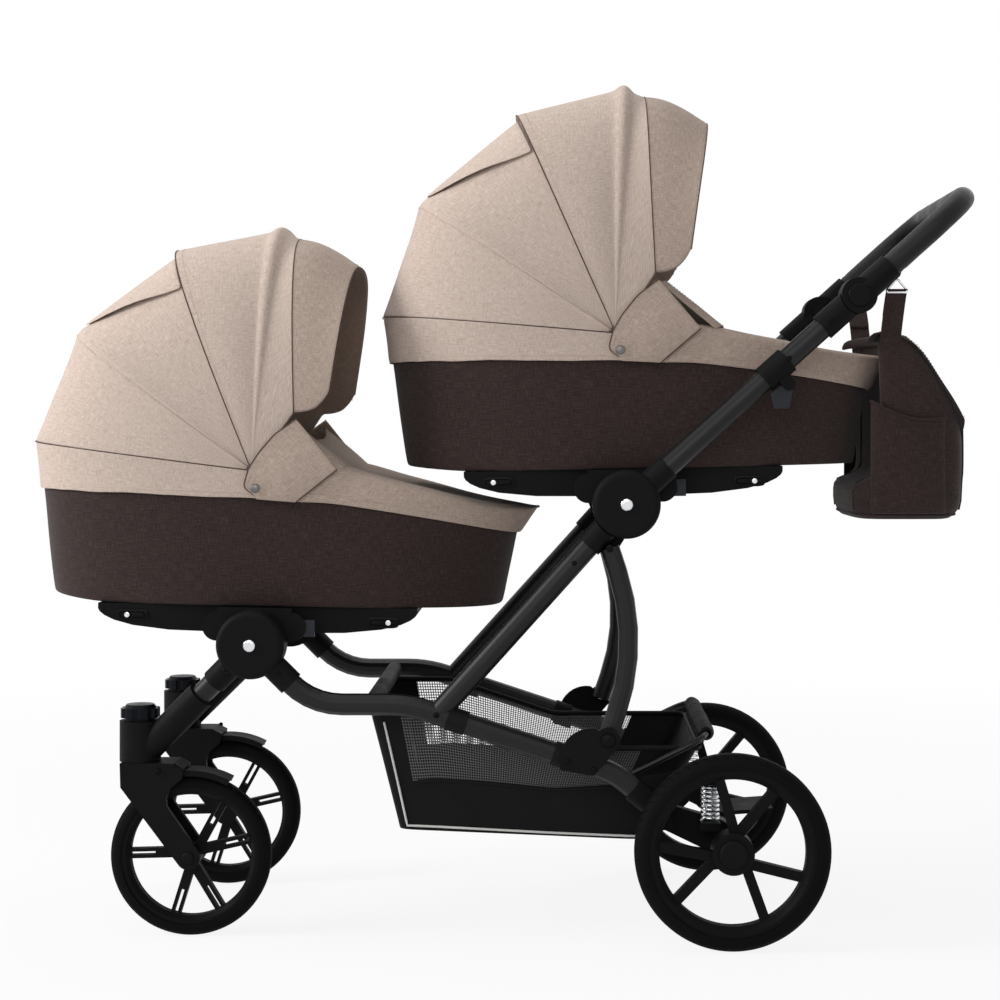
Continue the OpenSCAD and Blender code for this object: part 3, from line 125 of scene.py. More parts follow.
class Finish:
    def __init__(self, name):
        self.mat = bpy.data.materials.new(name)
        self.start(self.mat, "ShaderNodeOutputMaterial")

    def start(self, owner, output):
        owner.use_nodes = True
        self.tree = owner.node_tree
        self.tree.nodes.clear()
        self.out = self.tree.nodes.new(output)

    def node(self, kind, settings=None, inputs=None):
        made = self.tree.nodes.new(kind)
        for key, value in (settings or {}).items():
            if key == "stops":
                ramp = made.color_ramp.elements
                while len(ramp) < len(value):
                    ramp.new(0.5)
                for stop, (at, colour) in zip(ramp, value):
                    stop.position = at
                    stop.color = (*colour, 1.0)
            else:
                setattr(made, key, value)
        for key, value in (inputs or {}).items():
            if isinstance(value, Wire):
                self.tree.links.new(value.socket, made.inputs[key])
            elif isinstance(value, (tuple, list)) and len(value) == 3 and made.inputs[key].type == "RGBA":
                made.inputs[key].default_value = (*value, 1.0)
            else:
                made.inputs[key].default_value = value
        return Outputs(self, made)

    def mix(self, share, a, b):
        return self.node("ShaderNodeMix", {"data_type": "RGBA"}, {0: share, 6: a, 7: b})[2]

    def noise(self, where, scale, detail=2.0, rough=0.5):
        inputs = {"Vector": where, "Scale": scale, "Detail": detail, "Roughness": rough}
        return self.node("ShaderNodeTexNoise", {}, inputs)["Fac"]

    def cells(self, where, scale, feature):
        return self.node("ShaderNodeTexVoronoi", {"feature": feature}, {"Vector": where, "Scale": scale})["Distance"]

    def vector(self, operation, where, by):
        return self.node("ShaderNodeVectorMath", {"operation": operation}, {0: where, 1: by})[0]

    # noise drawn out along one thread of the cloth
    def streak(self, where, stretch, detail, rough=0.5):
        return self.noise(self.vector("MULTIPLY", where, stretch), 1.0, detail, rough)

    def split(self, where):
        made = self.node("ShaderNodeSeparateXYZ", {}, {0: where})
        return made["X"], made["Y"], made["Z"]

    def coords(self, kind="Object"):
        return self.node("ShaderNodeTexCoord")[kind]

    def ramp(self, value, stops):
        return self.node("ShaderNodeValToRGB", {"stops": stops}, {"Fac": value})["Color"]

    def range(self, value, low, high, to=(0.0, 1.0)):
        inputs = {"Value": value, "From Min": low, "From Max": high, "To Min": to[0], "To Max": to[1]}
        return self.node("ShaderNodeMapRange", {}, inputs)[0]

    # the middle part of a noise, over a whole range
    def spread(self, value, to=(0.0, 1.0)):
        return self.range(value, 0.3, 0.7, to)

    def bump(self, height, strength, distance):
        return self.node("ShaderNodeBump", {}, {"Height": height, "Strength": strength, "Distance": distance})[0]

    def end(self, shader):
        self.tree.links.new(shader.socket, self.out.inputs["Surface"])

    def surface(self, colour, roughness, normal, **more):
        inputs = {"Base Color": colour, "Roughness": roughness, "Normal": normal}
        inputs.update({key.replace("_", " "): value for key, value in more.items()})
        self.end(self.node("ShaderNodeBsdfPrincipled", {}, inputs)["BSDF"])
        return self.mat


def tone(r, g, b):
    return tuple(((c / 255 + 0.055) / 1.055) ** 2.4 if c > 10 else c / 255 / 12.92 for c in (r, g, b))


def scaled(colour, by):
    return tuple(c * by for c in colour)


# linen-like melange: fine slubs along both threads, colours of three yarns
def melangeCloth(name, dark, base, light, spread):
    f = Finish(name)
    where = f.coords("UV")
    warp = f.streak(where, (1150.0, 75.0, 75.0), 2.0, 0.6)
    weft = f.streak(where, (65.0, 1050.0, 1050.0), 2.0, 0.6)
    slub = f.range(f.streak(where, (45.0, 650.0, 650.0), 1.0), 0.6, 0.76)
    slubUp = f.range(f.streak(where, (650.0, 45.0, 45.0), 1.0), 0.6, 0.76)
    thread = (warp + weft) * 0.5
    stops = [(0.0, dark), (0.5, base), (1.0, light)]
    cloth = f.ramp(f.range(thread, 0.5 - spread, 0.5 + spread), stops)
    cloth = f.mix(slub * 0.3, cloth, light)
    cloth = f.mix(slubUp * 0.3, cloth, dark)
    cloth = f.mix(f.spread(f.noise(where, 6.0), (0.0, 0.08)), cloth, dark)
    x, y, _ = f.split(where)
    weave = (x * 2850.0).sin() * (y * 2850.0).sin()
    height = thread * 1.4 + weave * 0.25 + slub * 0.4
    return f.surface(cloth, f.spread(thread, (0.95, 0.82)), f.bump(height, 0.3, 0.0005),
                     Specular_IOR_Level=0.2, Sheen_Weight=0.1, Sheen_Roughness=0.5)


# satin powder coat over tube
def coatedTube(name, colour):
    f = Finish(name)
    where = f.coords()
    broad = f.noise(where, 14.0, 3.0)
    shade = f.mix(f.spread(broad, (0.0, 0.35)), colour, scaled(colour, 1.7))
    return f.surface(shade, f.spread(broad, (0.36, 0.46)), f.bump(f.noise(where, 900.0), 0.06, 0.0003),
                     Specular_IOR_Level=0.22, Coat_Weight=0.04, Coat_Roughness=0.25)


# moulded plastic with a fine pebbled grain
def mouldedPlastic(name, colour, rough=0.5, grain=0.12):
    f = Finish(name)
    where = f.coords()
    broad = f.noise(where, 22.0, 3.0)
    pebble = f.cells(where, 1100.0, "SMOOTH_F1")
    return f.surface(f.mix(f.spread(broad), colour, scaled(colour, 1.45)), f.spread(broad, (rough, rough + 0.12)),
                     f.bump(pebble, grain, 0.0003), Specular_IOR_Level=0.07)


# rubber with a dusty bloom and cross cuts on the tread
def tyreRubber(name, colour, centre, radius):
    f = Finish(name)
    where = f.coords()
    x, y, z = f.split(f.vector("ADD", where, scaled(centre, -1)))
    angle = z.math("ARCTAN2", x)
    crown = f.range((x * x + z * z) ** 0.5, radius * 0.955, radius * 0.975)
    cut = ((angle * 60.0 + (y * 260.0).abs()).sin() > 0.82) * crown
    fine = f.noise(where, 240.0, 3.0)
    wear = f.noise(where, 16.0, 3.0)
    shade = f.mix(f.range(wear, 0.35, 0.7, (0.0, 0.5)), colour, scaled(colour, 1.8))
    # the cross cuts are painted dark: painted shade in the tread grooves
    return f.surface(f.mix(cut, shade, scaled(colour, 0.4)), f.spread(wear, (0.62, 0.78)),
                     f.bump(fine * 0.3 - cut * 2.0, 0.5, 0.0008), Specular_IOR_Level=0.04)


def brightSteel(name, colour, rough):
    f = Finish(name)
    brush = f.streak(f.coords(), (90.0, 900.0, 90.0), 2.0)
    return f.surface(f.mix(f.spread(brush, (0.0, 0.4)), colour, scaled(colour, 0.8)),
                     f.spread(brush, (rough, rough + 0.1)), f.bump(brush, 0.05, 0.0002), Metallic=1.0)


# leatherette: creased cells with pores
def leatherette(name, colour):
    f = Finish(name)
    where = f.coords()
    crease = f.range(f.cells(where, 520.0, "DISTANCE_TO_EDGE"), 0.0, 0.09)
    broad = f.noise(where, 30.0, 3.0)
    # the creases between the cells are painted darker: painted shade in the creases
    shade = f.mix(crease, scaled(colour, 0.5), f.mix(f.spread(broad), colour, scaled(colour, 1.5)))
    return f.surface(shade, f.spread(broad, (0.38, 0.52)), f.bump(crease, 0.3, 0.0004), Specular_IOR_Level=0.2)


# open net of the basket sides
def netCloth(name, colour):
    f = Finish(name)
    x, y, _ = f.split(f.coords("UV"))
    pitch = 2 * pi / 0.0036
    barU, barV = (x * pitch).sin() > 0.42, (y * pitch).sin() > 0.42
    knot = barU * barV
    # the knots where the threads cross are painted lighter: a painted highlight
    return f.surface(f.mix(knot, colour, scaled(colour, 1.5)), 0.6, f.bump(knot, 0.4, 0.0005),
                     Alpha=barU.math("MAXIMUM", barV))


# coated black fabric, tight plain weave
def coatedCloth(name, colour, kind="UV"):
    f = Finish(name)
    where = f.coords(kind)
    x, y, _ = f.split(where)
    weave = (x * 4200.0).sin() * (y * 4200.0).sin()
    broad = f.noise(where, 18.0, 3.0)
    return f.surface(f.mix(f.spread(broad), colour, scaled(colour, 1.7)), f.spread(broad, (0.5, 0.66)),
                     f.bump(weave + broad * 3.0, 0.25, 0.0004), Specular_IOR_Level=0.08)


def cottonLining(name, colour):
    f = Finish(name)
    where = f.coords()
    fine = f.noise(where, 900.0)
    shade = f.mix(f.spread(f.noise(where, 12.0, 3.0)), colour, scaled(colour, 0.88))
    return f.surface(shade, f.spread(fine, (0.9, 0.8)), f.bump(fine, 0.2, 0.0004),
                     Specular_IOR_Level=0.2, Sheen_Weight=0.1)


# yarns as dark, base and light in 0 to 255, the rest as linear colours
finishPlan = {
    "spread": 0.2,
    "beige": ((162, 142, 129), (194, 176, 164), (219, 206, 196)),
    "brown": ((34, 25, 24), (49, 37, 35), (74, 60, 57)),
    # shade: a darker copy of the beige yarns, painted shade for the visor, apron, guard and flaps
    "shade": ((146, 126, 113), (178, 159, 146), (206, 191, 180)),
    "tube": (0.005, 0.005, 0.0055), "plastic": (0.004, 0.004, 0.0045), "rubber": (0.0045, 0.0045, 0.0048),
    "steel": (0.72, 0.73, 0.75), "smoked": (0.16, 0.15, 0.15), "lever": (0.028, 0.03, 0.035),
    "lock": (0.0045, 0.005, 0.007), "net": (0.06, 0.06, 0.062), "coated": (0.005, 0.005, 0.0054),
    "leather": (0.006, 0.006, 0.0064), "lining": (0.78, 0.74, 0.68), "piping": (0.72, 0.71, 0.69),
    # seam: dark brown of the cords laid along seams and edges, painted shadow lines
    "seam": (0.085, 0.058, 0.047),
}


def melange(name, key):
    return melangeCloth(name, *(tone(*yarn) for yarn in finishPlan[key]), finishPlan["spread"])


beigeCloth = melange("beigeMelange", "beige")
# a darker copy of the beige cloth: painted shade on the visor, apron, guard and flaps
paintedShadeCloth = melange("beigeCross", "shade")
brownCloth = melange("brownMelange", "brown")
tubeCoat = coatedTube("satinBlackTube", finishPlan["tube"])
hardPlastic = mouldedPlastic("grainedBlackPlastic", finishPlan["plastic"])
smoothPlastic = mouldedPlastic("smoothBlackPlastic", scaled(finishPlan["plastic"], 0.8), 0.28, 0.04)
leverPlastic = mouldedPlastic("greyBluePlastic", finishPlan["lever"], 0.4)
lockPlastic = mouldedPlastic("blueBlackPlastic", finishPlan["lock"], 0.24, 0.03)
steel = brightSteel("chromedSteel", finishPlan["steel"], 0.16)
smokedSteel = brightSteel("smokedSteel", finishPlan["smoked"], 0.3)
leather = leatherette("gripLeatherette", finishPlan["leather"])
net = netCloth("basketNet", finishPlan["net"])
coated = coatedCloth("coatedBlackCloth", finishPlan["coated"])
lining = cottonLining("cottonLining", finishPlan["lining"])
# dark cords along seams and edges: painted shadow lines
seamThread = cottonLining("seamThread", finishPlan["seam"])
pipingCloth = cottonLining("paleBinding", finishPlan["piping"])
print("finishes made")


# mesh helpers, all in metres
def steps(low, high, count):
    return [low + (high - low) * i / (count - 1) for i in range(count)]


def mm(points):
    return np.asarray(points, float) / 1000


def linkPiece(name, mesh, finishes):
    piece = bpy.data.objects.new(name, mesh)
    scene.collection.objects.link(piece)
    for finish in finishes:
        mesh.materials.append(finish)
    mesh.polygons.foreach_set("use_smooth", [True] * len(mesh.polygons))
    return piece


def fit(piece, body, slot):
    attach(piece, body)


# faces of a grid of points, closed round its columns where it wraps
def quadsOf(rows, cols, wrap, base=0):
    return [(base + i * cols + j, base + i * cols + (j + 1) % cols,
             base + (i + 1) * cols + (j + 1) % cols, base + (i + 1) * cols + j)
            for i in range(rows - 1) for j in range(cols if wrap else cols - 1)]


# lengths of the steps of a grid, across and along
def stepsOf(grid, wrap):
    across = np.concatenate([grid, grid[:, :1]], 1) if wrap else grid
    return np.linalg.norm(np.diff(across, axis=1), axis=2), np.linalg.norm(np.diff(grid, axis=0), axis=2)


def gridMesh(name, grid, wrap=False, away=None, pick=None):
    grid = np.asarray(grid, float)
    rows, cols = grid.shape[:2]
    ends = cols if wrap else cols - 1
    quads = quadsOf(rows, cols, wrap)
    across, along = stepsOf(grid, wrap)
    u = np.concatenate([[0], np.cumsum(across.mean(0))])
    v = np.concatenate([[0], np.cumsum(along.mean(1))])
    uvs = [((u[j], v[i]), (u[j + 1], v[i]), (u[j + 1], v[i + 1]),
            (u[j], v[i + 1])) for i in range(rows - 1) for j in range(ends)]
    if away is not None:
        flat = grid.reshape(-1, 3)
        a, b, c, d = (flat[list(corner)] for corner in zip(*quads))
        score = np.sum(np.cross(c - a, d - b) * ((a + c) / 2 - np.asarray(away)))
        if score < 0:
            quads = [q[::-1] for q in quads]
            uvs = [w[::-1] for w in uvs]
    mesh = bpy.data.meshes.new(name)
    mesh.from_pydata([tuple(p) for p in grid.reshape(-1, 3)], [], quads)
    layer = mesh.uv_layers.new(name="weave")
    layer.data.foreach_set("uv", np.asarray(uvs, float).ravel())
    if pick:
        for k, face in enumerate(mesh.polygons):
            face.material_index = pick(k // ends, k % ends, face.center)
    mesh.update()
    return mesh


def sheetPiece(name, grid, finishes, thick=0.0, levels=1, wrap=False, away=None, pick=None, offset=-1.0):
    piece = linkPiece(name, gridMesh(name, grid, wrap, away, pick), finishes)
    if thick:
        body = piece.modifiers.new("cloth", "SOLIDIFY")
        body.thickness = thick
        body.offset = offset
        body.use_even_offset = False
        body.material_offset = 1 if len(finishes) > 1 and not pick else 0
    if levels:
        soft = piece.modifiers.new("smooth", "SUBSURF")
        soft.levels = levels
        soft.render_levels = levels
    return piece


# what a sheet was cut to, measured along its own rows and columns
def cutSheet(grid, wrap=False):
    g = np.asarray(grid, float)
    across, along = stepsOf(g, wrap)
    if wrap:
        g = np.concatenate([g, g[:, :1]], axis=1)
    area = np.linalg.norm(np.cross(g[1:, 1:] - g[:-1, :-1], g[1:, :-1] - g[:-1, 1:]), axis=2).sum() / 2


def circle(centre, r, a, b, sides):
    return [tuple(centre + r * (cos(2 * pi * k / sides) * a + sin(2 * pi * k / sides) * b))
            for k in range(sides)]


# a cut sheet, attached to what it moves with
def clothPiece(name, grid, finishes, thick, body, slot, held, restsOn, away=None, **more):
    piece = sheetPiece(name, grid, finishes, thick, away=away, **more)
    fit(piece, body, slot)
    cutSheet(grid, more.get("wrap", False))
    return piece


def tubeGrid(path, radius, sides=8, closed=False):
    path = [Vector(p) for p in path]
    n = len(path)
    radii = radius if isinstance(radius, (list, tuple)) else [radius] * n
    up = Vector((0.123, 0.45, 0.88)).normalized()
    rows = []
    for i, p in enumerate(path):
        ahead = path[(i + 1) % n] if closed else path[min(i + 1, n - 1)]
        behind = path[i - 1] if closed or i else path[0]
        t = (ahead - behind).normalized()
        side = t.cross(up)
        side = side.normalized() if side.length > 1e-6 else t.orthogonal().normalized()
        up = side.cross(t).normalized()
        rows.append(circle(p, radii[i], side, up, sides))
    if closed:
        rows.append(rows[0])
    return np.asarray(rows)


class Parts:
    def __init__(self):
        self.points = []
        self.faces = []

    def grid(self, grid, wrap=True, caps=True):
        base = len(self.points)
        grid = np.asarray(grid, float)
        rows, cols = grid.shape[:2]
        self.points += [tuple(p) for p in grid.reshape(-1, 3)]
        self.faces += quadsOf(rows, cols, wrap, base)
        if caps and wrap:
            self.faces.append(tuple(base + k for k in range(cols))[::-1])
            self.faces.append(tuple(base + (rows - 1) * cols + k for k in range(cols)))

    def piece(self, name, finish, sharp=40):
        mesh = bpy.data.meshes.new(name)
        mesh.from_pydata(self.points, [], self.faces)
        mesh.validate()
        piece = linkPiece(name, mesh, [finish])
        mesh.set_sharp_from_angle(angle=radians(sharp))
        return piece


# a round part turned about a direction: profile of (radius, along), optional flats for a socket
def turned(parts, at, direction, profile, sides=28, socket=None):
    d = Vector(direction).normalized()
    a = d.orthogonal().normalized()
    b = d.cross(a)
    rows = []
    for r, h in profile:
        rows.append(circle(Vector(at) + h * d, r, a, b, sides))
    if socket:
        size, deep = socket
        top = profile[-1][1]
        for h in (top, top - deep):
            row = []
            for k in range(sides):
                w = 2 * pi * k / sides
                r = size / cos((w + pi / 6) % (pi / 3) - pi / 6)
                row.append(tuple(Vector(at) + h * d + r * (cos(w) * a + sin(w) * b)))
            rows.append(row)
    parts.grid(rows)


def boltHead(parts, at, direction, r):
    turned(parts, at, direction, [(r * 0.96, -0.002), (r, 0.0), (r * 0.99, r * 0.25), (r * 0.85, r * 0.5),
            (r * 0.6, r * 0.62)], 24, (r * 0.42, r * 0.4))


def stitchRow(parts, path, out, pitch=0.0052, long=0.0034, r=0.00042):
    path = [Vector(p) for p in path]
    out = [Vector(o).normalized() for o in out]
    run = 0.0
    for i in range(len(path) - 1):
        seg = path[i + 1] - path[i]
        length = seg.length
        while run < length:
            t = run / length
            p = path[i] + seg * t
            n = (out[i] * (1 - t) + out[i + 1] * t).normalized()
            u = seg.normalized()
            w = u.cross(n)
            rows = []
            for s, lift, fat in ((-0.5, -0.3, 0.5), (-0.32, 0.5, 1.0), (0.32, 0.5, 1.0), (0.5, -0.3, 0.5)):
                c = p + u * (s * long) + n * (lift * r)
                rows.append(circle(c, r * fat, w, n, 6))
            parts.grid(rows)
            run += pitch
        run -= length


# rows of stitches as one piece
def sew(name, finish, body, slot, seams, sharp=40):
    rows = Parts()
    for path, out in seams:
        stitchRow(rows, path, out)
    thread = rows.piece(name, finish, sharp)
    fit(thread, body, slot)
    return thread


# fine cords as one piece
def lay(name, finish, body, slot, paths, r=0.0009):
    cords = Parts()
    for path in paths:
        cords.grid(tubeGrid(path, r, 6))
    cord = cords.piece(name, finish, 60)
    fit(cord, body, slot)
    return cord


def waver(p, scale, seed=0.0):
    return noise.noise(Vector((p[0] * scale + seed, p[1] * scale - seed, p[2] * scale)))


# carrycot frames: millimetres round the middle of the hubs
cotShape = {"head": 362.0, "foot": 392.0, "half": 188.0, "power": 3.0, "bottom": 52.0, "edge": 228.0,
            "headRise": 6.0, "footDrop": 52.0, "pivot": (-10.0, 258.0), "frontFull": (0.0, 0.0),
            "rearFull": (0.04, 0.8)}


class Cot:
    def __init__(self, name):
        self.name = name
        self.body = name + "_cot"
        axis = joints[name + "_cot_lift"]["axis"]
        self.c, self.s = -axis[2], -axis[0]
        px, pz = cotShape["pivot"]
        pivot = joints[name + "_hood_fold"]["pos_m"]
        self.x = pivot[0] * 1000 - (px * self.c + pz * self.s)
        self.z = pivot[2] * 1000 - (-px * self.s + pz * self.c)
        self.pivot = self.point(px, 0, pz)

    def place(self, grid):
        g = np.asarray(grid, float)
        x, y, z = g[..., 0], g[..., 1], g[..., 2]
        return np.stack([self.x + x * self.c + z * self.s, y, self.z - x * self.s + z * self.c], -1) / 1000

    def point(self, x, y, z):
        return tuple(self.place([x, y, z]))

    # hood points, which stand fuller towards the front by the cot's own share
    def hood(self, grid):
        g = np.array(grid, float)
        px, pz = cotShape["pivot"]
        dx, dz = g[..., 0] - px, g[..., 2] - pz
        r, a = np.hypot(dx, dz), np.arctan2(dz, dx)
        share = np.clip((radians(174) - a) / radians(87), 0.0, 1.25) * np.minimum(1.0, (r / 370) ** 2)
        grow, turn = cotShape[self.name + "Full"]
        r, a = r * (1 + grow * share), a - radians(turn) * share
        g[..., 0], g[..., 2] = px + r * np.cos(a), pz + r * np.sin(a)
        return self.place(g)

    # a line on the hood and the way out from it
    def seam(self, line):
        return self.hood(line), [self.turn(*outFrom(*q)) for q in line]

    def turn(self, x, y, z):
        return (x * self.c + z * self.s, y, -x * self.s + z * self.c)


def edgeZ(x):
    s = cotShape
    if x < 0:
        return s["edge"] + s["headRise"] * -x / s["head"]
    return s["edge"] - s["footDrop"] * min(x / s["foot"], 1.0) ** 1.2


def planAt(angle, grow=0.0, share=1.0):
    s = cotShape
    c, n = cos(radians(angle)), sin(radians(angle))
    e = 2 / s["power"]
    long = (s["head"] if c < 0 else s["foot"]) + grow
    return copysign(long * abs(c) ** e, c) * share, copysign((s["half"] + grow) * abs(n) ** e, n) * share


def planHalf(x, grow=0.0):
    s = cotShape
    long = (s["head"] if x < 0 else s["foot"]) + grow
    return (s["half"] + grow) * max(0.0, 1 - min(abs(x) / long, 1.0) ** s["power"]) ** (1 / s["power"])


def hoopRow(foot, top, half, count=49, low=0.05, sag=0.0):
    row = []
    for k in range(count):
        phi = radians(low + (180 - 2 * low) * k / (count - 1))
        t = sin(phi) ** (2 / 3)
        y = copysign(half * abs(cos(phi)) ** (2 / 3), cos(phi))
        x, z = foot[0] + (top[0] - foot[0]) * t, foot[1] + (top[1] - foot[1]) * t
        row.append((x, y * (1 - sag * sin(2 * phi) ** 2), z))
    return row


def onHood(angle, r):
    px, pz = cotShape["pivot"]
    return px + r * cos(radians(angle)), pz + r * sin(radians(angle))


tubPlan = {"wall": 6.0, "floor": 10.0, "columns": 96, "sweep": (240.0, 110.0, 10.0),
           "rows": [(0.0, 0.0), (0.0, 0.5), (0.0, 0.9), (0.0, 0.93), (0.006, 0.9375), (0.022, 0.942),
                    (0.055, 0.9455), (0.1, 0.949), (0.2, 0.955), (0.4, 0.9665), (0.6, 0.978), (0.8, 0.989),
                    (0.97, 0.9985), (1.0, 0.999)]}


def tubFloor(x):
    start, run, rise = tubPlan["sweep"]
    return cotShape["bottom"] + rise * max(0.0, (-x - start) / run) ** 1.3


def buildTub(cot):
    p = tubPlan
    grid = []
    for zs, ps in p["rows"]:
        row = []
        for k in range(p["columns"]):
            x, y = planAt(360 * k / p["columns"], 0.0, max(ps, 0.02))
            z = tubFloor(x) + 0.1 + (edgeZ(x) - tubFloor(x)) * zs
            d = 0.9 * waver((x, y, z), 0.012, 3.1) * (1 if 0.05 < zs < 0.97 else 0)
            row.append((x * (1 + d / 250), y * (1 + d / 190), z))
        grid.append(row)
    for zs, ps in reversed(p["rows"]):
        if zs == 1.0 or zs < 0.02:
            continue
        row = []
        for k in range(p["columns"]):
            x, y = planAt(360 * k / p["columns"], -p["wall"], max(ps, 0.02))
            row.append((x, y, tubFloor(x) + p["floor"] * max(0, 1 - zs * 6) + (edgeZ(x) - tubFloor(x)) * zs))
        grid.append(row)
    for share in (0.88, 0.5, 0.02):
        spots = [planAt(360 * k / p["columns"], -p["wall"], share) for k in range(p["columns"])]
        grid.append([(x, y, tubFloor(x) + p["floor"]) for x, y in spots])
    outer = len(p["rows"]) - 1
    piece = sheetPiece(cot.name + "Tub", cot.place(grid), [brownCloth, lining], wrap=True,
                       pick=lambda i, j, c: int(i >= outer))
    fixNormals(piece)
    fit(piece, cot.body, "brown_fabric")
    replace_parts(piece, cot.name + "_tub")


def fixNormals(piece):
    bm = bmesh.new()
    bm.from_mesh(piece.data)
    bmesh.ops.recalc_face_normals(bm, faces=bm.faces)
    bm.to_mesh(piece.data)
    bm.free()


skirtPlan = {"grow": 4.0, "lap": 11.0, "flare": 8.0, "rim": 174.0, "columns": 121,
             "profile": [(0.0, 3.4), (0.0, 0.2), (0.035, -0.4), (0.09, 0.4), (0.2, 0.0), (0.4, -0.6), (0.6, -0.6),
                         (0.8, -0.2), (0.93, 0.2), (0.99, -0.6), (1.0, -2.2)]}


def buildSkirt(cot):
    p = skirtPlan
    px, pz = cotShape["pivot"]
    slope = tan(radians(180 - p["rim"]))
    grid = []
    for s, out in p["profile"]:
        row = []
        for k in range(p["columns"]):
            a = 89.0 + 182.0 * k / (p["columns"] - 1)
            x0, y0 = planAt(a, p["grow"])
            lean = max(0.0, -x0 / cotShape["head"])
            x1, y1 = planAt(a, p["grow"] + p["flare"] * lean * lean)
            hem = 1.6 * waver((x0, y0, 0), 0.018) + 0.9 * waver((x0, y0, 5), 0.06)
            low = edgeZ(x0) - p["lap"] + hem * max(0.0, 1 - s * 2)
            top = pz + (px - x1) * slope - 0.6
            puff = out + (1.1 * waver((x0, y0, s * 60), 0.02, 1.7)) * sin(pi * s)
            norm = Vector((x0 / cotShape["head"] ** 2, y0 / cotShape["half"] ** 2)).normalized()
            x, y = x0 + (x1 - x0) * s, y0 + (y1 - y0) * s
            if out > 3:
                x, y = x - norm.x * out, y - norm.y * out
            else:
                x += norm.x * puff
            row.append((x, y, low + (top - low) * s))
        grid.append(row)
    clothPiece(cot.name + "HoodSkirt", cot.place(grid), [beigeCloth], 0.0022, cot.body, "beige_fabric",
               "stretched", [cot.name + "_tub"], cot.point(0, 0, 250))
    path, out = [], []
    for k in range(0, p["columns"], 2):
        x, y = planAt(89.5 + 181.0 * k / (p["columns"] - 1), p["grow"] + 0.2)
        path.append(cot.point(x, y, edgeZ(x) - p["lap"] + 7))
        out.append(cot.turn(x / cotShape["head"] ** 2, y / cotShape["half"] ** 2, 0))
    sew(cot.name + "SkirtStitches", beigeCloth, cot.body, "beige_fabric", [(path, out)])


hoodPlan = {"r": 367.8, "half": 191.9, "bows": (174.0, 144.5, 110.5), "sag": 0.012, "slackAt": 132.0, "keep": 0.955}


def hoodRadius(angle, r):
    a, b, c = hoodPlan["bows"]
    high, low = (a, b) if angle > b else (b, c)
    return r * cos(radians(high - low) / 2) / cos(radians(angle - (high + low) / 2))


def nearBow(angle):
    return min(abs(angle - bow) for bow in hoodPlan["bows"])


def hoodAngles():
    a, b, c = hoodPlan["bows"]
    first = [a, a - 0.5, a - 1.6, a - 4, a - 8, a - 12, a - 16, a - 20, a - 24, b + 2.6, b + 1.2, b + 0.45]
    second = [b, b - 0.45, b - 1.2, b - 2.6, b - 6, b - 11, b - 16, b - 21, b - 26, b - 30, c + 2.0, c]
    return first + second


def hoodGrid(lift=0.0, angles=None):
    a, b = hoodPlan["bows"][:2]
    px, pz = cotShape["pivot"]
    grid = []
    for angle in angles or hoodAngles():
        r = hoodRadius(angle, hoodPlan["r"])
        near = nearBow(angle)
        seam = -1.4 * max(0.0, 1 - abs(angle - b) / 0.45) - 0.8 * max(0.0, 1 - abs(angle - a) / 0.4)
        seam += 0.5 * exp(-((abs(angle - b) - 1.2) / 0.8) ** 2)
        top = onHood(angle, r + seam + lift)
        row = hoopRow((px, pz + 0.6), top, hoodPlan["half"] + min(seam, 0) + lift, 57, 0.05,
                hoodPlan["sag"] * min(1.0, near / 8))
        grid.append(row)
    return grid


# the fixed panels get meshes of their own
def slacken(cot, piece):
    way = radians(hoodPlan["slackAt"])
    cot.turn(cos(way), 0, sin(way))
    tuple(cot.pivot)
    hoodPlan["keep"]
    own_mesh(piece)


def outFrom(x, y, z):
    px, pz = cotShape["pivot"]
    return Vector((x - px, y * 1.6, z - pz)).normalized()


def buildHoodShell(cot):
    a, b = hoodPlan["bows"][:2]
    grid = np.asarray(hoodGrid())
    for i, angle in enumerate(hoodAngles()):
        near = nearBow(angle)
        for j in range(grid.shape[1]):
            x, y, z = grid[i, j]
            d = -1.2 + 1.2 * waver((x, y, z), 0.014, 4.2) + 0.5 * waver((x, y, z), 0.05, 9.0)
            pull = min(1.0, near / 6)
            grid[i, j] += np.asarray(outFrom(x, y, z)) * min(d, 0.0) * pull
    shell = clothPiece(cot.name + "HoodShell", cot.hood(grid), [beigeCloth, lining], 0.0024, cot.body, "beige_fabric",
                       "stretched", [cot.name + "_hood_bow"], cot.pivot)
    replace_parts(shell, cot.name + "_hood_shell")
    thread = sew(cot.name + "HoodStitches", beigeCloth, cot.body, "beige_fabric",
                 [cot.seam(hoodGrid(0.1, [b + 1.0])[0])])
    # dark cord along the lower seam of the hood shell: a painted shadow line
    seam = lay(cot.name + "HoodSeam", seamThread, cot.body, "beige_fabric", [cot.hood(hoodGrid(0.2, [a + 0.1])[0])])
    for part in (shell, thread, seam):
        slacken(cot, part)


windowPlan = {"from": 142.0, "to": 113.4, "backEdge": 0.985, "frontEdge": 0.83, "lift": 2.2, "gape": 4.5}


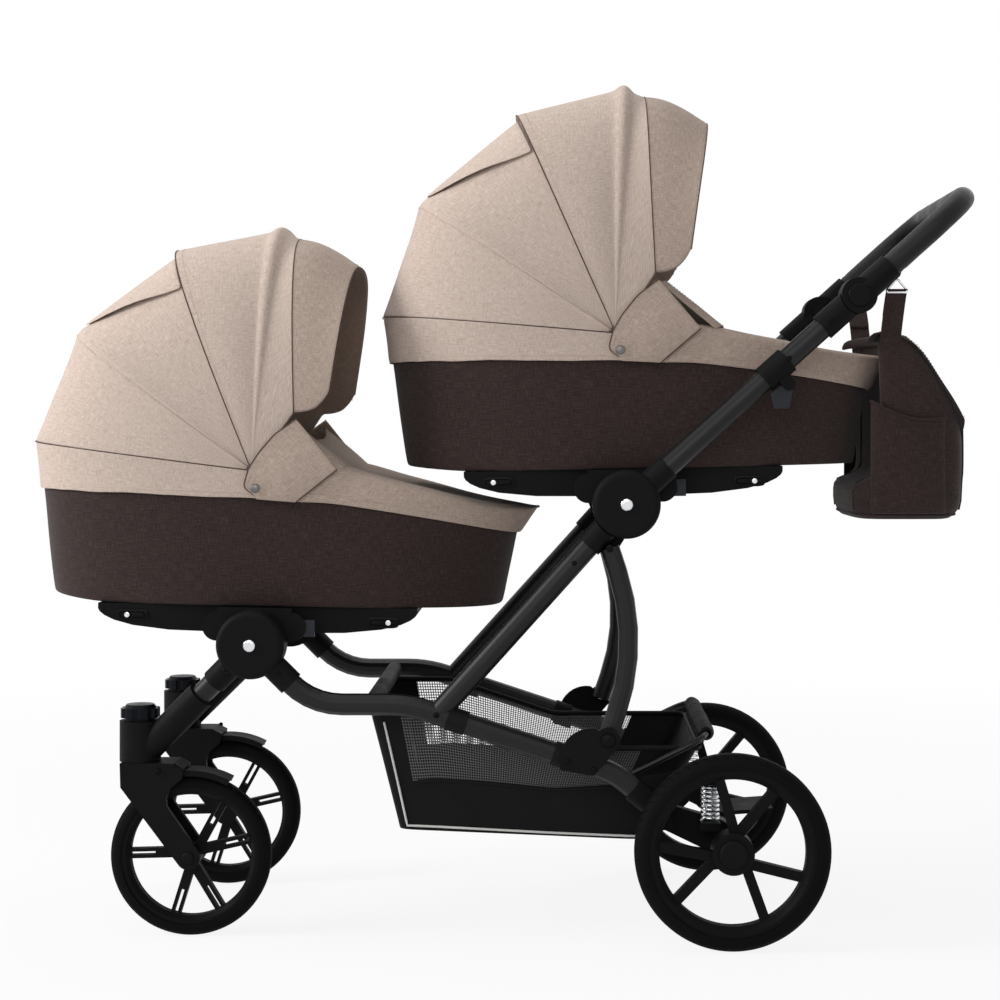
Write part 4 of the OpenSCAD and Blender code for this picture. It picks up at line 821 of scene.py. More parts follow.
# flap over the hood window, hemmed, narrower at the back
def buildWindowFlap(cot):
    p = windowPlan
    px, pz = cotShape["pivot"]
    grid = []
    steps, across = 16, 33
    for i in range(steps + 1):
        s = i / steps
        angle = p["from"] + (p["to"] - p["from"]) * s
        edge = p["backEdge"] + (p["frontEdge"] - p["backEdge"]) * s ** 0.85
        phi0 = asin(edge ** 1.5)
        r = hoodRadius(angle, hoodPlan["r"])
        row = []
        for k in range(across):
            w = k / (across - 1) * 2 - 1
            phi = pi / 2 + w * (pi / 2 - phi0)
            gape = p["gape"] * sin(pi * min(1.0, s * 1.15)) ** 1.5 * abs(w) ** 6
            fold = 0.5 * waver((angle * 4, w * 30, 2), 0.08)
            lift = p["lift"] + 0.8 * (1 - abs(w) ** 3) * sin(pi * s) + gape + fold
            t = sin(phi) ** (2 / 3)
            y = copysign(hoodPlan["half"] * abs(cos(phi)) ** (2 / 3), cos(phi))
            tx, tz = onHood(angle, r + lift)
            row.append((px + (tx - px) * t, y * (1 + lift / 300), pz + (tz - pz) * t))
        grid.append(row)
    flap = clothPiece(cot.name + "HoodWindowFlap", cot.hood(grid), [beigeCloth], 0.0018, cot.body, "beige_fabric",
                      "laid", [cot.name + "HoodShell"], cot.pivot, offset=0.0)
    g = np.asarray(grid)
    thread = sew(cot.name + "FlapStitches", beigeCloth, cot.body, "beige_fabric",
                 [cot.seam(line) for line in (g[:, 1], g[:, across - 2], g[1])])
    for part in (flap, thread):
        slacken(cot, part)


frontPlan = {"back": 113.0, "bow": 87.2, "r": 374.4, "bowR": 376.5, "belly": 4.5, "nub": 9.5, "nubWide": 2.4,
             "dip": 7.0, "half": 198.6, "sideShare": 0.3,
             "edge": [(0.0, 52.0, 343.0, 82.4, 376.0), (0.3, 68.0, 344.5, 78.0, 370.5),
                      (0.6, 84.0, 350.0, 72.5, 363.0), (0.85, 97.0, 364.0, 68.5, 356.5),
                      (1.0, 105.0, 379.0, 66.2, 353.0)]}


def visorAt(s):
    rows = frontPlan["edge"]
    k = [r[0] for r in rows]
    return [float(np.interp(s, k, [r[i] for r in rows])) for i in range(1, 5)]


# rows of the folding front: foot, top, place along it and how far it stands out
def frontHoodRows():
    p = frontPlan
    foot = cotShape["pivot"]
    nubFrom = p["bow"] + p["nubWide"]
    rows = []
    for s in (0.0, 0.03, 0.08, 0.2, 0.35, 0.5, 0.65, 0.78, 0.9):
        back, bow = np.asarray(onHood(p["back"], p["r"])), np.asarray(onHood(nubFrom, p["bowR"]))
        rows.append((foot, tuple(back + (bow - back) * s), s, p["belly"] * sin(pi * s)))
    for k in range(9):
        w = (k - 4) / 4
        rows.append((foot, onHood(p["bow"] - w * p["nubWide"], p["bowR"]), 1.0,
                p["nub"] * (1 - w * w) ** 1.2 - p["dip"] * 0.35 * max(w, 0.0) ** 2))
    rows.append(((20.0, 292.0), onHood(83.7, 376.2), 1.0, -p["dip"] * 0.65))
    rows.append(((42.0, 327.0), onHood(82.9, 376.0), 1.0, -p["dip"] * 0.95))
    for s in (0.0, 0.02, 0.05, 0.15, 0.3, 0.45, 0.6, 0.72, 0.84, 0.92, 0.965, 1.0):
        x, z, angle, r = visorAt(s)
        rows.append(((x, z), onHood(angle, r), 2.0 + s, -p["dip"] * max(0.0, 1 - s / 0.4) ** 1.5))
    return rows


def buildHoodFront(cot):
    p = frontPlan
    grid, marks = [], frontHoodRows()
    for foot, top, s, lift in marks:
        sag = 0.006 * sin(pi * (s - 2)) if s > 2 else 0.0
        row = hoopRow(foot, top, p["half"], 57, 0.05, max(sag, 0.0))
        for j, (x, y, z) in enumerate(row):
            height = sin(pi * j / 56)
            full = 1 - height ** 4 if s < 1 else p["sideShare"] + (1 - p["sideShare"]) * height ** 3
            fade = min(1.0, height * 2.5) * full
            d = 0.9 * waver((x, y, z), 0.014, 6.4) * (1 if 0.1 < s < 0.9 or s > 2.05 else 0)
            out = outFrom(x, y, z) * (max(d, -0.1) + lift * fade)
            row[j] = (x + out.x, y + out.y, z + out.z)
        grid.append(row)
    seam = next(i for i, m in enumerate(marks) if m[2] == 2.0)
    body = cot.name + "_hood"
    # the visor panel, from the visor seam on, takes the darker copy of the beige: painted shade
    piece = clothPiece(cot.name + "HoodFront", cot.hood(grid), [beigeCloth, paintedShadeCloth], 0.0022, body, "beige_fabric",
                       "stretched", [cot.name + "_hood_bow"], cot.pivot, pick=lambda i, j, c: int(i >= seam))
    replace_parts(piece, cot.name + "_hood_front", cot.name + "_hood_bow")
    g = np.asarray(grid)
    last = len(marks) - 1
    sew(cot.name + "FrontStitches", beigeCloth, body, "beige_fabric", [cot.seam(g[i]) for i in (2, last - 2)], 60)
    # dark cords at the back edge, the visor seam and the visor rim: painted shadow lines
    lay(cot.name + "FrontSeams", seamThread, body, "beige_fabric", [cot.hood(g[i]) for i in (0, seam, last)])


apronPlan = {"from": 57.0, "shear": 62.0, "lap": 6.0, "grow": 4.2,
             "crown": {"front": (50.0, 30.0), "rear": (52.0, 43.0)}, "side": 0.24, "shoulder": 0.8, "sag": 0.17,
             "lean": 0.68, "columns": 65,
             "spots": [0.0, 0.01, 0.03, 0.08, 0.16, 0.26, 0.36, 0.46, 0.56, 0.66, 0.75, 0.83, 0.89, 0.935, 0.965,
                       0.985, 0.996, 0.9996, 1.0]}


# one row across the apron: up the side, round the shoulder, over the top
def apronRow(cot, s):
    p = apronPlan
    start, end = p["crown"][cot.name]
    x = p["from"] + (cotShape["foot"] + p["grow"] - p["from"]) * s
    low = edgeZ(x) - p["lap"] - 5.0 * max(0.0, 1 - s / 0.15) - 5.0 * s ** 3
    high = edgeZ(x) + start + (end - start) * s - low
    half = planHalf(x, p["grow"])
    row = []
    for k in range(p["columns"]):
        w = k / (p["columns"] - 1) * 2 - 1
        face = 1 - p["side"]
        if abs(w) > face:
            t = (1 - abs(w)) / p["side"]
            y, rise = half + 1.2 * sin(pi * t), p["shoulder"] * t
        else:
            u = abs(w) / face
            sag = p["sag"] * (1 - u * u) ** 2 * min(1.0, half / 150.0)
            y, rise = half * u, p["shoulder"] + (1 - p["shoulder"]) * (1 - u ** 6) ** 0.5 - sag
        front = (1 - s) ** 2
        middle = max(0.0, 1 - abs(y) / 180.0)
        lean = p["lean"] * high * rise * max(0.0, (s - 0.8) / 0.2) ** 1.5
        puff = 1.5 * waver((x, y, rise * high), 0.013, 7.7) + 0.5 * waver((x, y, rise * high), 0.05, 2.2)
        z = low + high * rise + puff * min(1.0, rise * 2) * min(1.0, s * 20)
        row.append((x + p["shear"] * rise * front + 16.0 * middle * max(0.0, 1 - s / 0.2) + lean, copysign(y, w),
                    z - 8.0 * middle * max(0.0, 1 - s / 0.12)))
    return row


def buildApron(cot):
    p = apronPlan
    grid = [apronRow(cot, s) for s in p["spots"]]
    # the apron's outside takes the darker copy of the beige: painted shade
    piece = clothPiece(cot.name + "Apron", cot.place(grid), [paintedShadeCloth, lining], 0.0026, cot.body, "beige_fabric",
                       "stretched", [cot.name + "_tub"], cot.point(220, 0, 150))
    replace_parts(piece, cot.name + "_apron")
    g = np.asarray(grid)
    seams = []
    for j in (2, p["columns"] - 3):
        line = g[:-1, j]
        seams.append((cot.place(line + [0, copysign(0.4, g[3, j, 1]), 0]), [cot.turn(0, y, 8) for x, y, z in line]))
    seams.append((cot.place(g[2] + [0, 0, 0.5]), [cot.turn(0, y * 0.4, 60) for x, y, z in g[2]]))
    sew(cot.name + "ApronStitches", beigeCloth, cot.body, "beige_fabric", seams, 60)
    # dark cord along the apron's front edge: a painted shadow line
    lay(cot.name + "ApronSeam", seamThread, cot.body, "beige_fabric", [cot.place(g[0])])


guardPlan = {"sides": ((148.0, 266.0), (62.0, 339.0)), "middle": ((160.0, 250.0), (74.0, 312.0)), "half": 186.0,
             "drop": 15.0, "lift": {"front": -7.0, "rear": 9.0}}


# wind guard of the apron, standing up into the hood, with its side edges turned down
def buildGuard(cot):
    p = guardPlan
    sides, middle = np.asarray(p["sides"]), np.asarray(p["middle"])
    along = (sides[1] - sides[0]) / np.linalg.norm(sides[1] - sides[0])
    up = np.asarray((along[1], -along[0]))
    grid = []
    for v in steps(0, 1, 19):
        row = []
        for w in steps(-1, 1, 61):
            line = middle + (sides - middle) * abs(w) ** 3
            fall = -p["drop"] * abs(w) ** 22 + 1.4 * waver((v * 140, w * 170, 3), 0.02, 4.4)
            x, z = line[0] + (line[1] - line[0]) * v + up * (fall + p["lift"][cot.name])
            row.append((x, p["half"] * w, z))
        grid.append(row)
    # the guard takes the darker copy of the beige: painted shade
    clothPiece(cot.name + "ApronGuard", cot.place(grid), [paintedShadeCloth, lining], 0.003, cot.body, "beige_fabric",
               "folded", [cot.name + "Apron"], cot.point(60, 0, 200))
    g = np.asarray(grid)
    lift, way = [up[0] * 0.4, 0, up[1] * 0.4], cot.turn(up[0], 0, up[1])
    sew(cot.name + "GuardStitches", beigeCloth, cot.body, "beige_fabric",
        [(cot.place(line + lift), [way] * len(line)) for line in (g[:, 2], g[:, -3], g[-2])])


flapPlan = {"left": [(-16.0, 216.0), (-21.5, 234.0), (-14.5, 261.0), (0.0, 285.0), (24.0, 314.0), (57.0, 338.0)],
            "right": [(57.0, 211.5), (119.5, 262.5)], "y": 202.0, "tuck": 5.0, "snap": (-3.5, 232.0), "steps": 20,
            "stud": [(0.0068, -0.0015), (0.0072, 0.0006), (0.0066, 0.0024), (0.0048, 0.0034), (0.0022, 0.0038),
                     (0.0004, 0.0039)]}


# tabs of the apron that button up outside the hood
def buildFlaps(cot):
    p = flapPlan
    left, right = np.asarray(p["left"]), np.asarray(p["right"])
    far = np.concatenate([[0], np.cumsum(np.linalg.norm(np.diff(left, axis=0), axis=1))])
    n = p["steps"]
    for sign, label in ((-1, "Left"), (1, "Right")):
        grid = []
        for i in range(n + 1):
            u = i / n
            row = []
            for k in range(n + 1):
                v = k / n
                edge = np.asarray([np.interp(v * far[-1], far, left[:, c]) for c in (0, 1)])
                q = (1 - u) * edge + u * (right[0] + (right[1] - right[0]) * v)
                heel = max(0.0, 1 - u / 0.2) * max(0.0, 1 - v / 0.12)
                q = q + np.asarray((10.0, 6.0)) * heel
                bow = 2.0 * sin(pi * u) * sin(pi * v)
                crease = 0.8 * waver((q[0], q[1], 1), 0.03, 5.0)
                out = p["y"] + bow - p["tuck"] * u ** 3 * (1 - 0.5 * v) + crease
                row.append((q[0], sign * out, q[1]))
            grid.append(row)
        # the flaps take the darker copy of the beige: painted shade
        clothPiece(cot.name + "ApronFlap" + label, cot.place(grid), [paintedShadeCloth], 0.0026, cot.body, "beige_fabric",
                   "folded", [cot.name + "HoodFront"], cot.point(50, 0, 260), offset=0.0)
        g = np.asarray(grid) + [0, sign * 1.4, 0]
        way = cot.turn(0, sign, 0)
        sew(cot.name + "FlapThread" + label, beigeCloth, cot.body, "beige_fabric",
            [(cot.place(line), [way] * len(line)) for line in (g[:, 1], g[:, -2], g[1])])
        # dark cords along the flap's outer edge and its seam to the apron: painted shadow lines
        lay(cot.name + "FlapSeam" + label, seamThread, cot.body, "beige_fabric",
            [cot.place(line) for line in (g[0], g[-1])], 0.0008)
        snaps = Parts()
        x, z = p["snap"]
        turned(snaps, cot.point(x, sign * (p["y"] + 1.6), z), way, p["stud"])
        fit(snaps.piece(cot.name + "ApronSnap" + label, smokedSteel), cot.body, "bright_steel")


mattressPlan = {"gap": 14.0, "height": 46.0, "cap": 0.008, "voxel": 0.006, "pressure": 4.0, "quality": 4,
                "frames": 20,
                "rows": [(0.0, 0.02), (0.0, 0.5), (0.0, 0.84), (0.12, 0.872), (0.3, 0.88), (0.7, 0.88),
                         (0.9, 0.868), (1.0, 0.83), (1.12, 0.6), (1.2, 0.3), (1.22, 0.02)]}


def buildMattress(cot):
    p = mattressPlan
    low = cotShape["bottom"] + tubPlan["floor"] + 1.2
    grid = []
    for zs, share in p["rows"]:
        grid.append([(*planAt(360 * k / 72, -p["gap"], share), low + (p["height"] - 4) * zs) for k in range(72)])
    piece = sheetPiece(cot.name + "Mattress", cot.place(grid), [lining], 0, 0, True)
    fixNormals(piece)
    swell(piece, p)
    soft = piece.modifiers.new("smooth", "SUBSURF")
    soft.levels = soft.render_levels = 1
    fit(piece, cot.body, "lining_fabric")
    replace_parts(piece, cot.name + "_mattress")


# pressure swells the pad, and no point moves further than the cap
def swell(piece, p):
    bpy.ops.object.select_all(action="DESELECT")
    piece.select_set(True)
    bpy.context.view_layer.objects.active = piece
    mesh = piece.modifiers.new("even", "REMESH")
    mesh.mode = "VOXEL"
    mesh.voxel_size = p["voxel"]
    bpy.ops.object.modifier_apply(modifier="even")
    start = np.empty(len(piece.data.vertices) * 3)
    piece.data.vertices.foreach_get("co", start)
    cloth = piece.modifiers.new("swell", "CLOTH")
    cloth.settings.use_pressure = True
    cloth.settings.uniform_pressure_force = p["pressure"]
    cloth.settings.effector_weights.gravity = 0
    cloth.settings.quality = p["quality"]
    cloth.point_cache.frame_end = p["frames"]
    for step in range(1, p["frames"] + 1):
        scene.frame_set(step)
    bpy.ops.object.modifier_apply(modifier="swell")
    end = np.empty_like(start)
    piece.data.vertices.foreach_get("co", end)
    move = (end - start).reshape(-1, 3)
    far = np.linalg.norm(move, axis=1, keepdims=True)
    move *= np.minimum(1.0, p["cap"] / np.maximum(far, 1e-9))
    piece.data.vertices.foreach_set("co", (start.reshape(-1, 3) + move).ravel())
    piece.data.polygons.foreach_set("use_smooth", [True] * len(piece.data.polygons))
    piece.data.update()
    scene.frame_set(1)


cots = [Cot("front"), Cot("rear")]
for cot in cots:
    buildTub(cot)
    buildSkirt(cot)
    buildHoodShell(cot)
    buildWindowFlap(cot)
    buildHoodFront(cot)
    buildApron(cot)
    buildGuard(cot)
    buildFlaps(cot)
    buildMattress(cot)
    print(cot.name, "carrycot dressed")

# basket: sheets over the CAD form, net windows at the sides
basketPlan = {"front": -184.0, "back": 319.0, "floorFront": -139.0, "floorBack": 233.0, "low": (158.0, 142.0),
              "half": (172.0, 192.0), "rearTop": 284.0, "tube": (-120.0, 356.0, 188.0, 254.0), "bar": 342.7,
              "corner": 30.0, "columns": 120, "sleeve": (330.0, 304.6, 12.5, 178.0)}


# height of the side tubes along the basket
def tubeZ(x):
    x0, z0, x1, z1 = basketPlan["tube"]
    return z0 + (x - x0) * (z1 - z0) / (x1 - x0)


def basketEdge(x):
    return min(basketPlan["bar"], max(tubeZ(x), basketPlan["rearTop"]))


def basketFloor(x):
    p = basketPlan
    return p["low"][0] + (p["low"][1] - p["low"][0]) * (x - p["floorFront"]) / (p["floorBack"] - p["floorFront"])


def basketPoint(angle, share):
    p = basketPlan
    c, s = cos(angle), sin(angle)
    n = (abs(c) ** p["corner"] + abs(s) ** p["corner"]) ** (1 / p["corner"])
    front = p["floorFront"] + (p["front"] - p["floorFront"]) * share
    back = p["floorBack"] + (p["back"] - p["floorBack"]) * share
    half = p["half"][0] + (p["half"][1] - p["half"][0]) * share
    x = (front + back) / 2 + (back - front) / 2 * c / n
    y = half * s / n
    low, top = basketFloor(x), basketEdge(x)
    draw = 3.0 * sin(pi * share) * abs(s)
    return x, y - copysign(draw, y), low + (top - low) * share


def windowFoot(x):
    return float(np.interp(x, (-112.0, 189.0), (0.40, 0.58)))


def buildBasket():
    p = basketPlan
    n = p["columns"]
    angles = [2 * pi * k / n for k in range(n)]
    grid = []
    lowRows, topRows = 7, 7
    for r in range(lowRows + topRows + 1):
        row = []
        for a in angles:
            foot = windowFoot(basketPoint(a, 0.5)[0])
            share = foot * r / lowRows if r <= lowRows else foot + (1 - foot) * (r - lowRows) / topRows
            x, y, z = basketPoint(a, share)
            d = 1.6 * waver((x, y, z), 0.02, 8.0) * sin(pi * share)
            row.append((x, y + d, z))
        grid.append(row)
    g = mm(grid)

    def pick(i, j, c):
        middle = (g[lowRows, j, 0] + g[lowRows, (j + 1) % n, 0]) / 2
        return 1 if i >= lowRows and -0.114 < middle < 0.20 and abs(c.y) > 0.14 else 0

    walls = clothPiece("basketWalls", g, [coated, net], 0, "chassis", "mesh_fabric", "hung",
                       ["main_tubes", "front_crossbar"], (0.07, 0, 0.25), pick=pick, wrap=True)
    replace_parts(walls, "basket")
    rows = []
    for share in (1.0, 0.97, 0.8, 0.5, 0.2, 0.02):
        row = []
        for a in angles:
            x, y, z = basketPoint(a, 0.0)
            cx = (p["floorFront"] + p["floorBack"]) / 2
            x = cx + (x - cx) * share
            row.append(mm((x, y * share, basketFloor(x) - 4.0 * (1 - share) * abs(sin(a * 2)) + 0.2)))
        rows.append(row)
    floor = sheetPiece("basketFloor", rows, [coated], 0.002, 1, True, (0.07, 0, 0.5))
    fit(floor, "chassis", "mesh_fabric")
    trim = Parts()
    rim = Parts()
    rimPath = [mm(basketPoint(a, 1.0)) for a in angles]
    rim.grid(tubeGrid(rimPath, 0.0042, 8, True), True, False)
    for sign in (-1, 1):
        line = [basketPoint(pi * 0.737, 0.035 + 0.86 * k / 24) for k in range(24, 0, -1)]
        line += [basketPoint(pi * (0.737 - 0.487 * k / 40), 0.035) for k in range(41)]
        trim.grid(tubeGrid(mm([(x, sign * (y + 0.9), z) for x, y, z in line]), 0.0018))
        hem = []
        for k in range(41):
            a = pi * (0.76 - 0.5 * k / 40)
            x = basketPoint(a, 0.5)[0]
            if -114 < x < 196:
                hem.append(np.asarray(basketPoint(a, windowFoot(x))) * [1, sign, 1] / 1000 + [0, sign * 0.0006, 0])
        rim.grid(tubeGrid(hem, 0.0028))
    piping = trim.piece("basketPiping", pipingCloth, 60)
    binding = rim.piece("basketBinding", coated, 60)
    for part in (piping, binding):
        fit(part, "chassis", "mesh_fabric")
    buildLoops()
    buildSleeve()
    print("basket sewn")


loopPlan = {"at": (-47.0, 111.0), "y": 232.0, "way": (0.949, 0.3145), "tabFrom": (217.0, -10.0),
            "tabRun": (26.0, 6.0), "band": [(-15.0, 17.0), (-14.2, 18.4), (0.0, 18.4), (14.2, 18.4), (15.0, 17.0)],
            "tab": ((-15, 1), (15, 1), (15, -1), (-15, -1)), "slope": 0.33}


# webbing loops round the side tubes, with tabs to the basket
def buildLoops():
    p = loopPlan
    ca, sa = p["way"]
    (tabY, tabZ), (inward, down) = p["tabFrom"], p["tabRun"]
    loops = Parts()
    for x in p["at"]:
        for sign in (-1, 1):
            z = tubeZ(x)
            band = []
            for w, r in p["band"]:
                ring = [(r * cos(a), r * sin(a)) for a in steps(0, 2 * pi, 29)[:-1]]
                band.append([mm((x + w * ca + u * sa, sign * (p["y"] + v), z - w * sa + u * ca)) for u, v in ring])
            loops.grid(band)
            loops.grid([[mm((x + w, sign * (tabY - inward * t), z + tabZ - w * p["slope"] - down * t + h))
                         for w, h in p["tab"]] for t in (0.0, 0.5, 1.0)])
    fit(loops.piece("basketLoops", coated, 50), "chassis", "mesh_fabric")


# padded sleeve gathered on the rear rail, with a ribbed strip down to the basket
def buildSleeve():
    x, z, r, reach = basketPlan["sleeve"]
    turns = [2 * pi * k / 18 for k in range(18)]
    rows = []
    for i in range(85):
        t = i / 84 * 2 - 1
        y = reach * t
        close = (1 - abs(t) ** 24) ** 0.5
        swell = (r + 1.1 * sin(y * 0.42) + 1.6 * waver((y, 0, 0), 0.05, 1.3)) * (0.48 + 0.52 * close)
        rows.append([mm((x + swell * cos(a), y, z + swell * sin(a) - 0.6)) for a in turns])
    sleeve = sheetPiece("basketSleeve", rows, [coated], 0, 1, True, (x / 1000, 0, z / 1000))
    strip = []
    for t in (0.0, 0.25, 0.5, 0.75, 1.0):
        rib = 1.6 * sin(pi * t)
        strip.append([mm((x - 8 * t - 2 + rib * sin(k * 1.25), -176 + 352 * k / 140, z - 7 - 18 * t))
                      for k in range(141)])
    skirt = sheetPiece("basketRearStrip", strip, [coated], 0.0018, 1, False, (0, 0, 0.28))
    for part in (sleeve, skirt):
        fit(part, "chassis", "mesh_fabric")


buildBasket()

# bag: wedge that wraps the foot end, lid over the back, pockets at the sides
bagPlan = {"low": 628.0, "top": 913.0, "half": 150.0, "back": 733.0, "topBack": 646.0, "side": 580.0,
           "middle": 632.0, "lowFront": 558.0, "columns": 96, "foot": [(0.0, 0.02), (0.0, 0.5), (0.0, 0.92)],
           "heights": (0.0, 0.02, 0.06, 0.11, 0.15, 0.18, 0.2, 0.225, 0.25, 0.28, 0.34, 0.42, 0.56, 0.7, 0.82, 0.92,
                       0.98), "head": [(1.0, 0.97), (1.0, 0.5), (1.0, 0.02)]}


def bagFaces(y, h):
    p = bagPlan
    tuck = max(0.0, (0.08 - h) / 0.08) ** 2
    front = p["middle"] - (p["middle"] - p["side"]) * (y / p["half"]) ** 2
    low = min(1.0, max(0.0, (0.27 - h) / 0.09))
    front += (p["lowFront"] - front) * low * low * (3 - 2 * low) + 10 * tuck
    return front, p["back"] - (p["back"] - p["topBack"]) * max(0.0, (h - 0.52) / 0.48) ** 1.35 - 16 * tuck


def bagPoint(angle, h, grow=0.0):
    p = bagPlan
    c, s = cos(angle), sin(angle)
    e = 0.42
    squeeze = 1 - 0.06 * max(0.0, (h - 0.8) / 0.2) ** 2 - 0.09 * max(0.0, (0.08 - h) / 0.08) ** 2
    y = (p["half"] + grow) * squeeze * copysign(abs(s) ** e, s)
    front, back = bagFaces(y, h)
    w = copysign(abs(c) ** e, c) * 0.5 + 0.5
    sag = 5.0 * sin(pi * min(h * 1.4, 1.0))
    bulge = sag * (w - 0.5) * 2 * (1 - abs(y / p["half"]) ** 4) if w > 0.5 else 0
    x = front - grow + (back - front + 2 * grow) * w + bulge
    return x, y, p["low"] + (p["top"] - p["low"]) * h


lidPlan = {"path": [(630.0, 902.0), (631.0, 916.0), (635.0, 919.0), (641.0, 918.5), (650.0, 912.0), (660.0, 899.0),
                    (673.0, 878.0), (687.0, 856.0), (701.0, 832.0), (714.0, 808.0), (724.0, 786.0), (729.0, 772.0),
                    (731.0, 764.0)], "pulls": [50.0, 47.0, 40.0, 27.0, 11.0, 2.0], "half": 146.0, "taper": 0.03,
           "curl": 4.0, "corner": 22.0}


# lid: from the front top edge over the top and down the back
def lidGrid():
    p = lidPlan
    grid = []
    for i, (x, z) in enumerate(p["path"]):
        pull = p["pulls"][i] if i < len(p["pulls"]) else 0.0
        row = []
        for w in steps(-1, 1, 41):
            y = p["half"] * w * (1 - p["taper"] * (i / len(p["path"])))
            curl = p["curl"] * abs(w) ** 6
            d = 1.6 * waver((x, y, z), 0.02, 3.3)
            corner = p["corner"] * max(0.0, (abs(w) - 0.8) / 0.2) ** 2 * max(0.0, (i - 7) / 5)
            row.append((x - pull * w * w + d * 0.6 - curl * 0.3, y, z - curl + d * 0.4 + corner))
        grid.append(row)
    return mm(grid)


pocketPlan = {"from": 584.0, "long": 122.0, "low": 0.03, "mouth": (0.64, 0.09, 0.05), "stand": 3.0, "full": 7.0,
              "press": 4.5, "ends": (14.0, 3.0)}


# side pocket with a curved mouth
def pocketGrid(sign):
    p, bag = pocketPlan, bagPlan
    high, drop, curve = p["mouth"]
    back, front = p["ends"]
    grid = []
    for s in steps(0, 1, 15):
        row = []
        for t in steps(0, 1, 21):
            mouth = high - drop * t - curve * sin(pi * t)
            h = p["low"] + (mouth - p["low"]) * s
            x = p["from"] + p["long"] * t
            full = p["full"] * sin(pi * t) * sin(pi * min(1.0, h / mouth * 0.9))
            puff = p["stand"] + full - p["press"] * abs(2 * t - 1) ** 8
            ends = back * max(0.0, (t - 0.84) / 0.16) ** 2 + front * max(0.0, (0.1 - t) / 0.1) ** 2
            y = bag["half"] * (1 - 0.09 * max(0.0, (0.08 - h) / 0.08) ** 2) + puff - ends
            y += 1.2 * waver((x, 0, h * 200), 0.03, 7.0)
            row.append((x, sign * y, bag["low"] + (bag["top"] - bag["low"]) * h))
        grid.append(row)
    return mm(grid)


def buildBag():
    p = bagPlan
    n = p["columns"]
    grid = []
    for h, share in p["foot"] + [(h, 1.0) for h in p["heights"]] + p["head"]:
        row = []
        for k in range(n):
            x, y, z = bagPoint(2 * pi * k / n, h)
            middle = sum(bagFaces(y * share, h)) / 2
            x, y = middle + (x - sum(bagFaces(y, h)) / 2) * share, y * share
            d = 2.2 * waver((x, y, z), 0.016, 2.4) + 0.9 * waver((x, y, z), 0.05, 5.5)
            out = Vector((x - 655, y, 0)).normalized()
            row.append((x + out.x * d - (0.8 if x > 700 else 0), y + out.y * d, z))
        grid.append(row)
    body = sheetPiece("bagBody", mm(grid), [brownCloth], 0, 1, True, (0.655, 0, 0.76))
    fit(body, "bag", "brown_fabric")
    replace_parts(body, "bag")
    lid = lidGrid()
    clothPiece("bagLid", lid, [brownCloth], 0.0032, "bag", "brown_fabric", "folded", ["bagBody"],
               (0.62, 0, 0.75), offset=0.0)
    seams, welt = Parts(), Parts()
    for line in (lid[:, 1], lid[:, -2], lid[-2]):
        stitchRow(seams, line + [0.0012, 0, 0.0012], [(0.7, 0, 0.7)] * len(line))
    for sign, label in ((-1, "Left"), (1, "Right")):
        pocket = pocketGrid(sign)
        clothPiece("bagPocket" + label, pocket, [brownCloth], 0.0026, "bag", "brown_fabric", "stretched",
                   ["bagBody"], (0.65, 0, 0.74), offset=0.0)
        welt.grid(tubeGrid(pocket[-1], 0.0026))
        stitchRow(seams, pocket[-2] + [0, sign * 0.0016, 0], [(0, sign, 0)] * len(pocket[-2]))
    mouth = welt.piece("bagPocketWelts", brownCloth, 60)
    thread = seams.piece("bagStitches", brownCloth)
    gusset = Parts()
    for a in (0.16, 0.84, 1.16, 1.84):
        line = [mm(bagPoint(pi * a, h / 20, -0.6)) for h in range(1, 20)]
        gusset.grid(tubeGrid(line, 0.0022))
    foot = [mm(bagPoint(2 * pi * k / 72, 0.025, -0.6)) for k in range(72)]
    gusset.grid(tubeGrid(foot, 0.0022, 8, True), True, False)
    edges = gusset.piece("bagPiping", brownCloth, 60)
    for part in (mouth, thread, edges):
        fit(part, "bag", "brown_fabric")
    print("bag filled")


buildBag()

strapPlan = {"x": 614.3, "ringY": 208.5, "ringTop": 995.5, "ringHigh": 22.0, "ringWide": 36.0, "wire": 2.0,
             "up": [(143.0, 884.0), (146.0, 893.0), (149.5, 903.0), (153.5, 911.0), (159.0, 920.0), (171.0, 936.0),
                    (188.0, 957.0), (202.0, 972.0), (207.0, 977.0)],
             "over": [(209.8, 1.2), (211.2, 2.6), (210.2, 3.4), (206.5, 0.5)],
             "down": [(200.0, 971.5), (186.0, 957.5), (168.0, 937.5)],
             "across": (-16.0, -15.0, -8.0, 0.0, 8.0, 15.0, 16.0)}


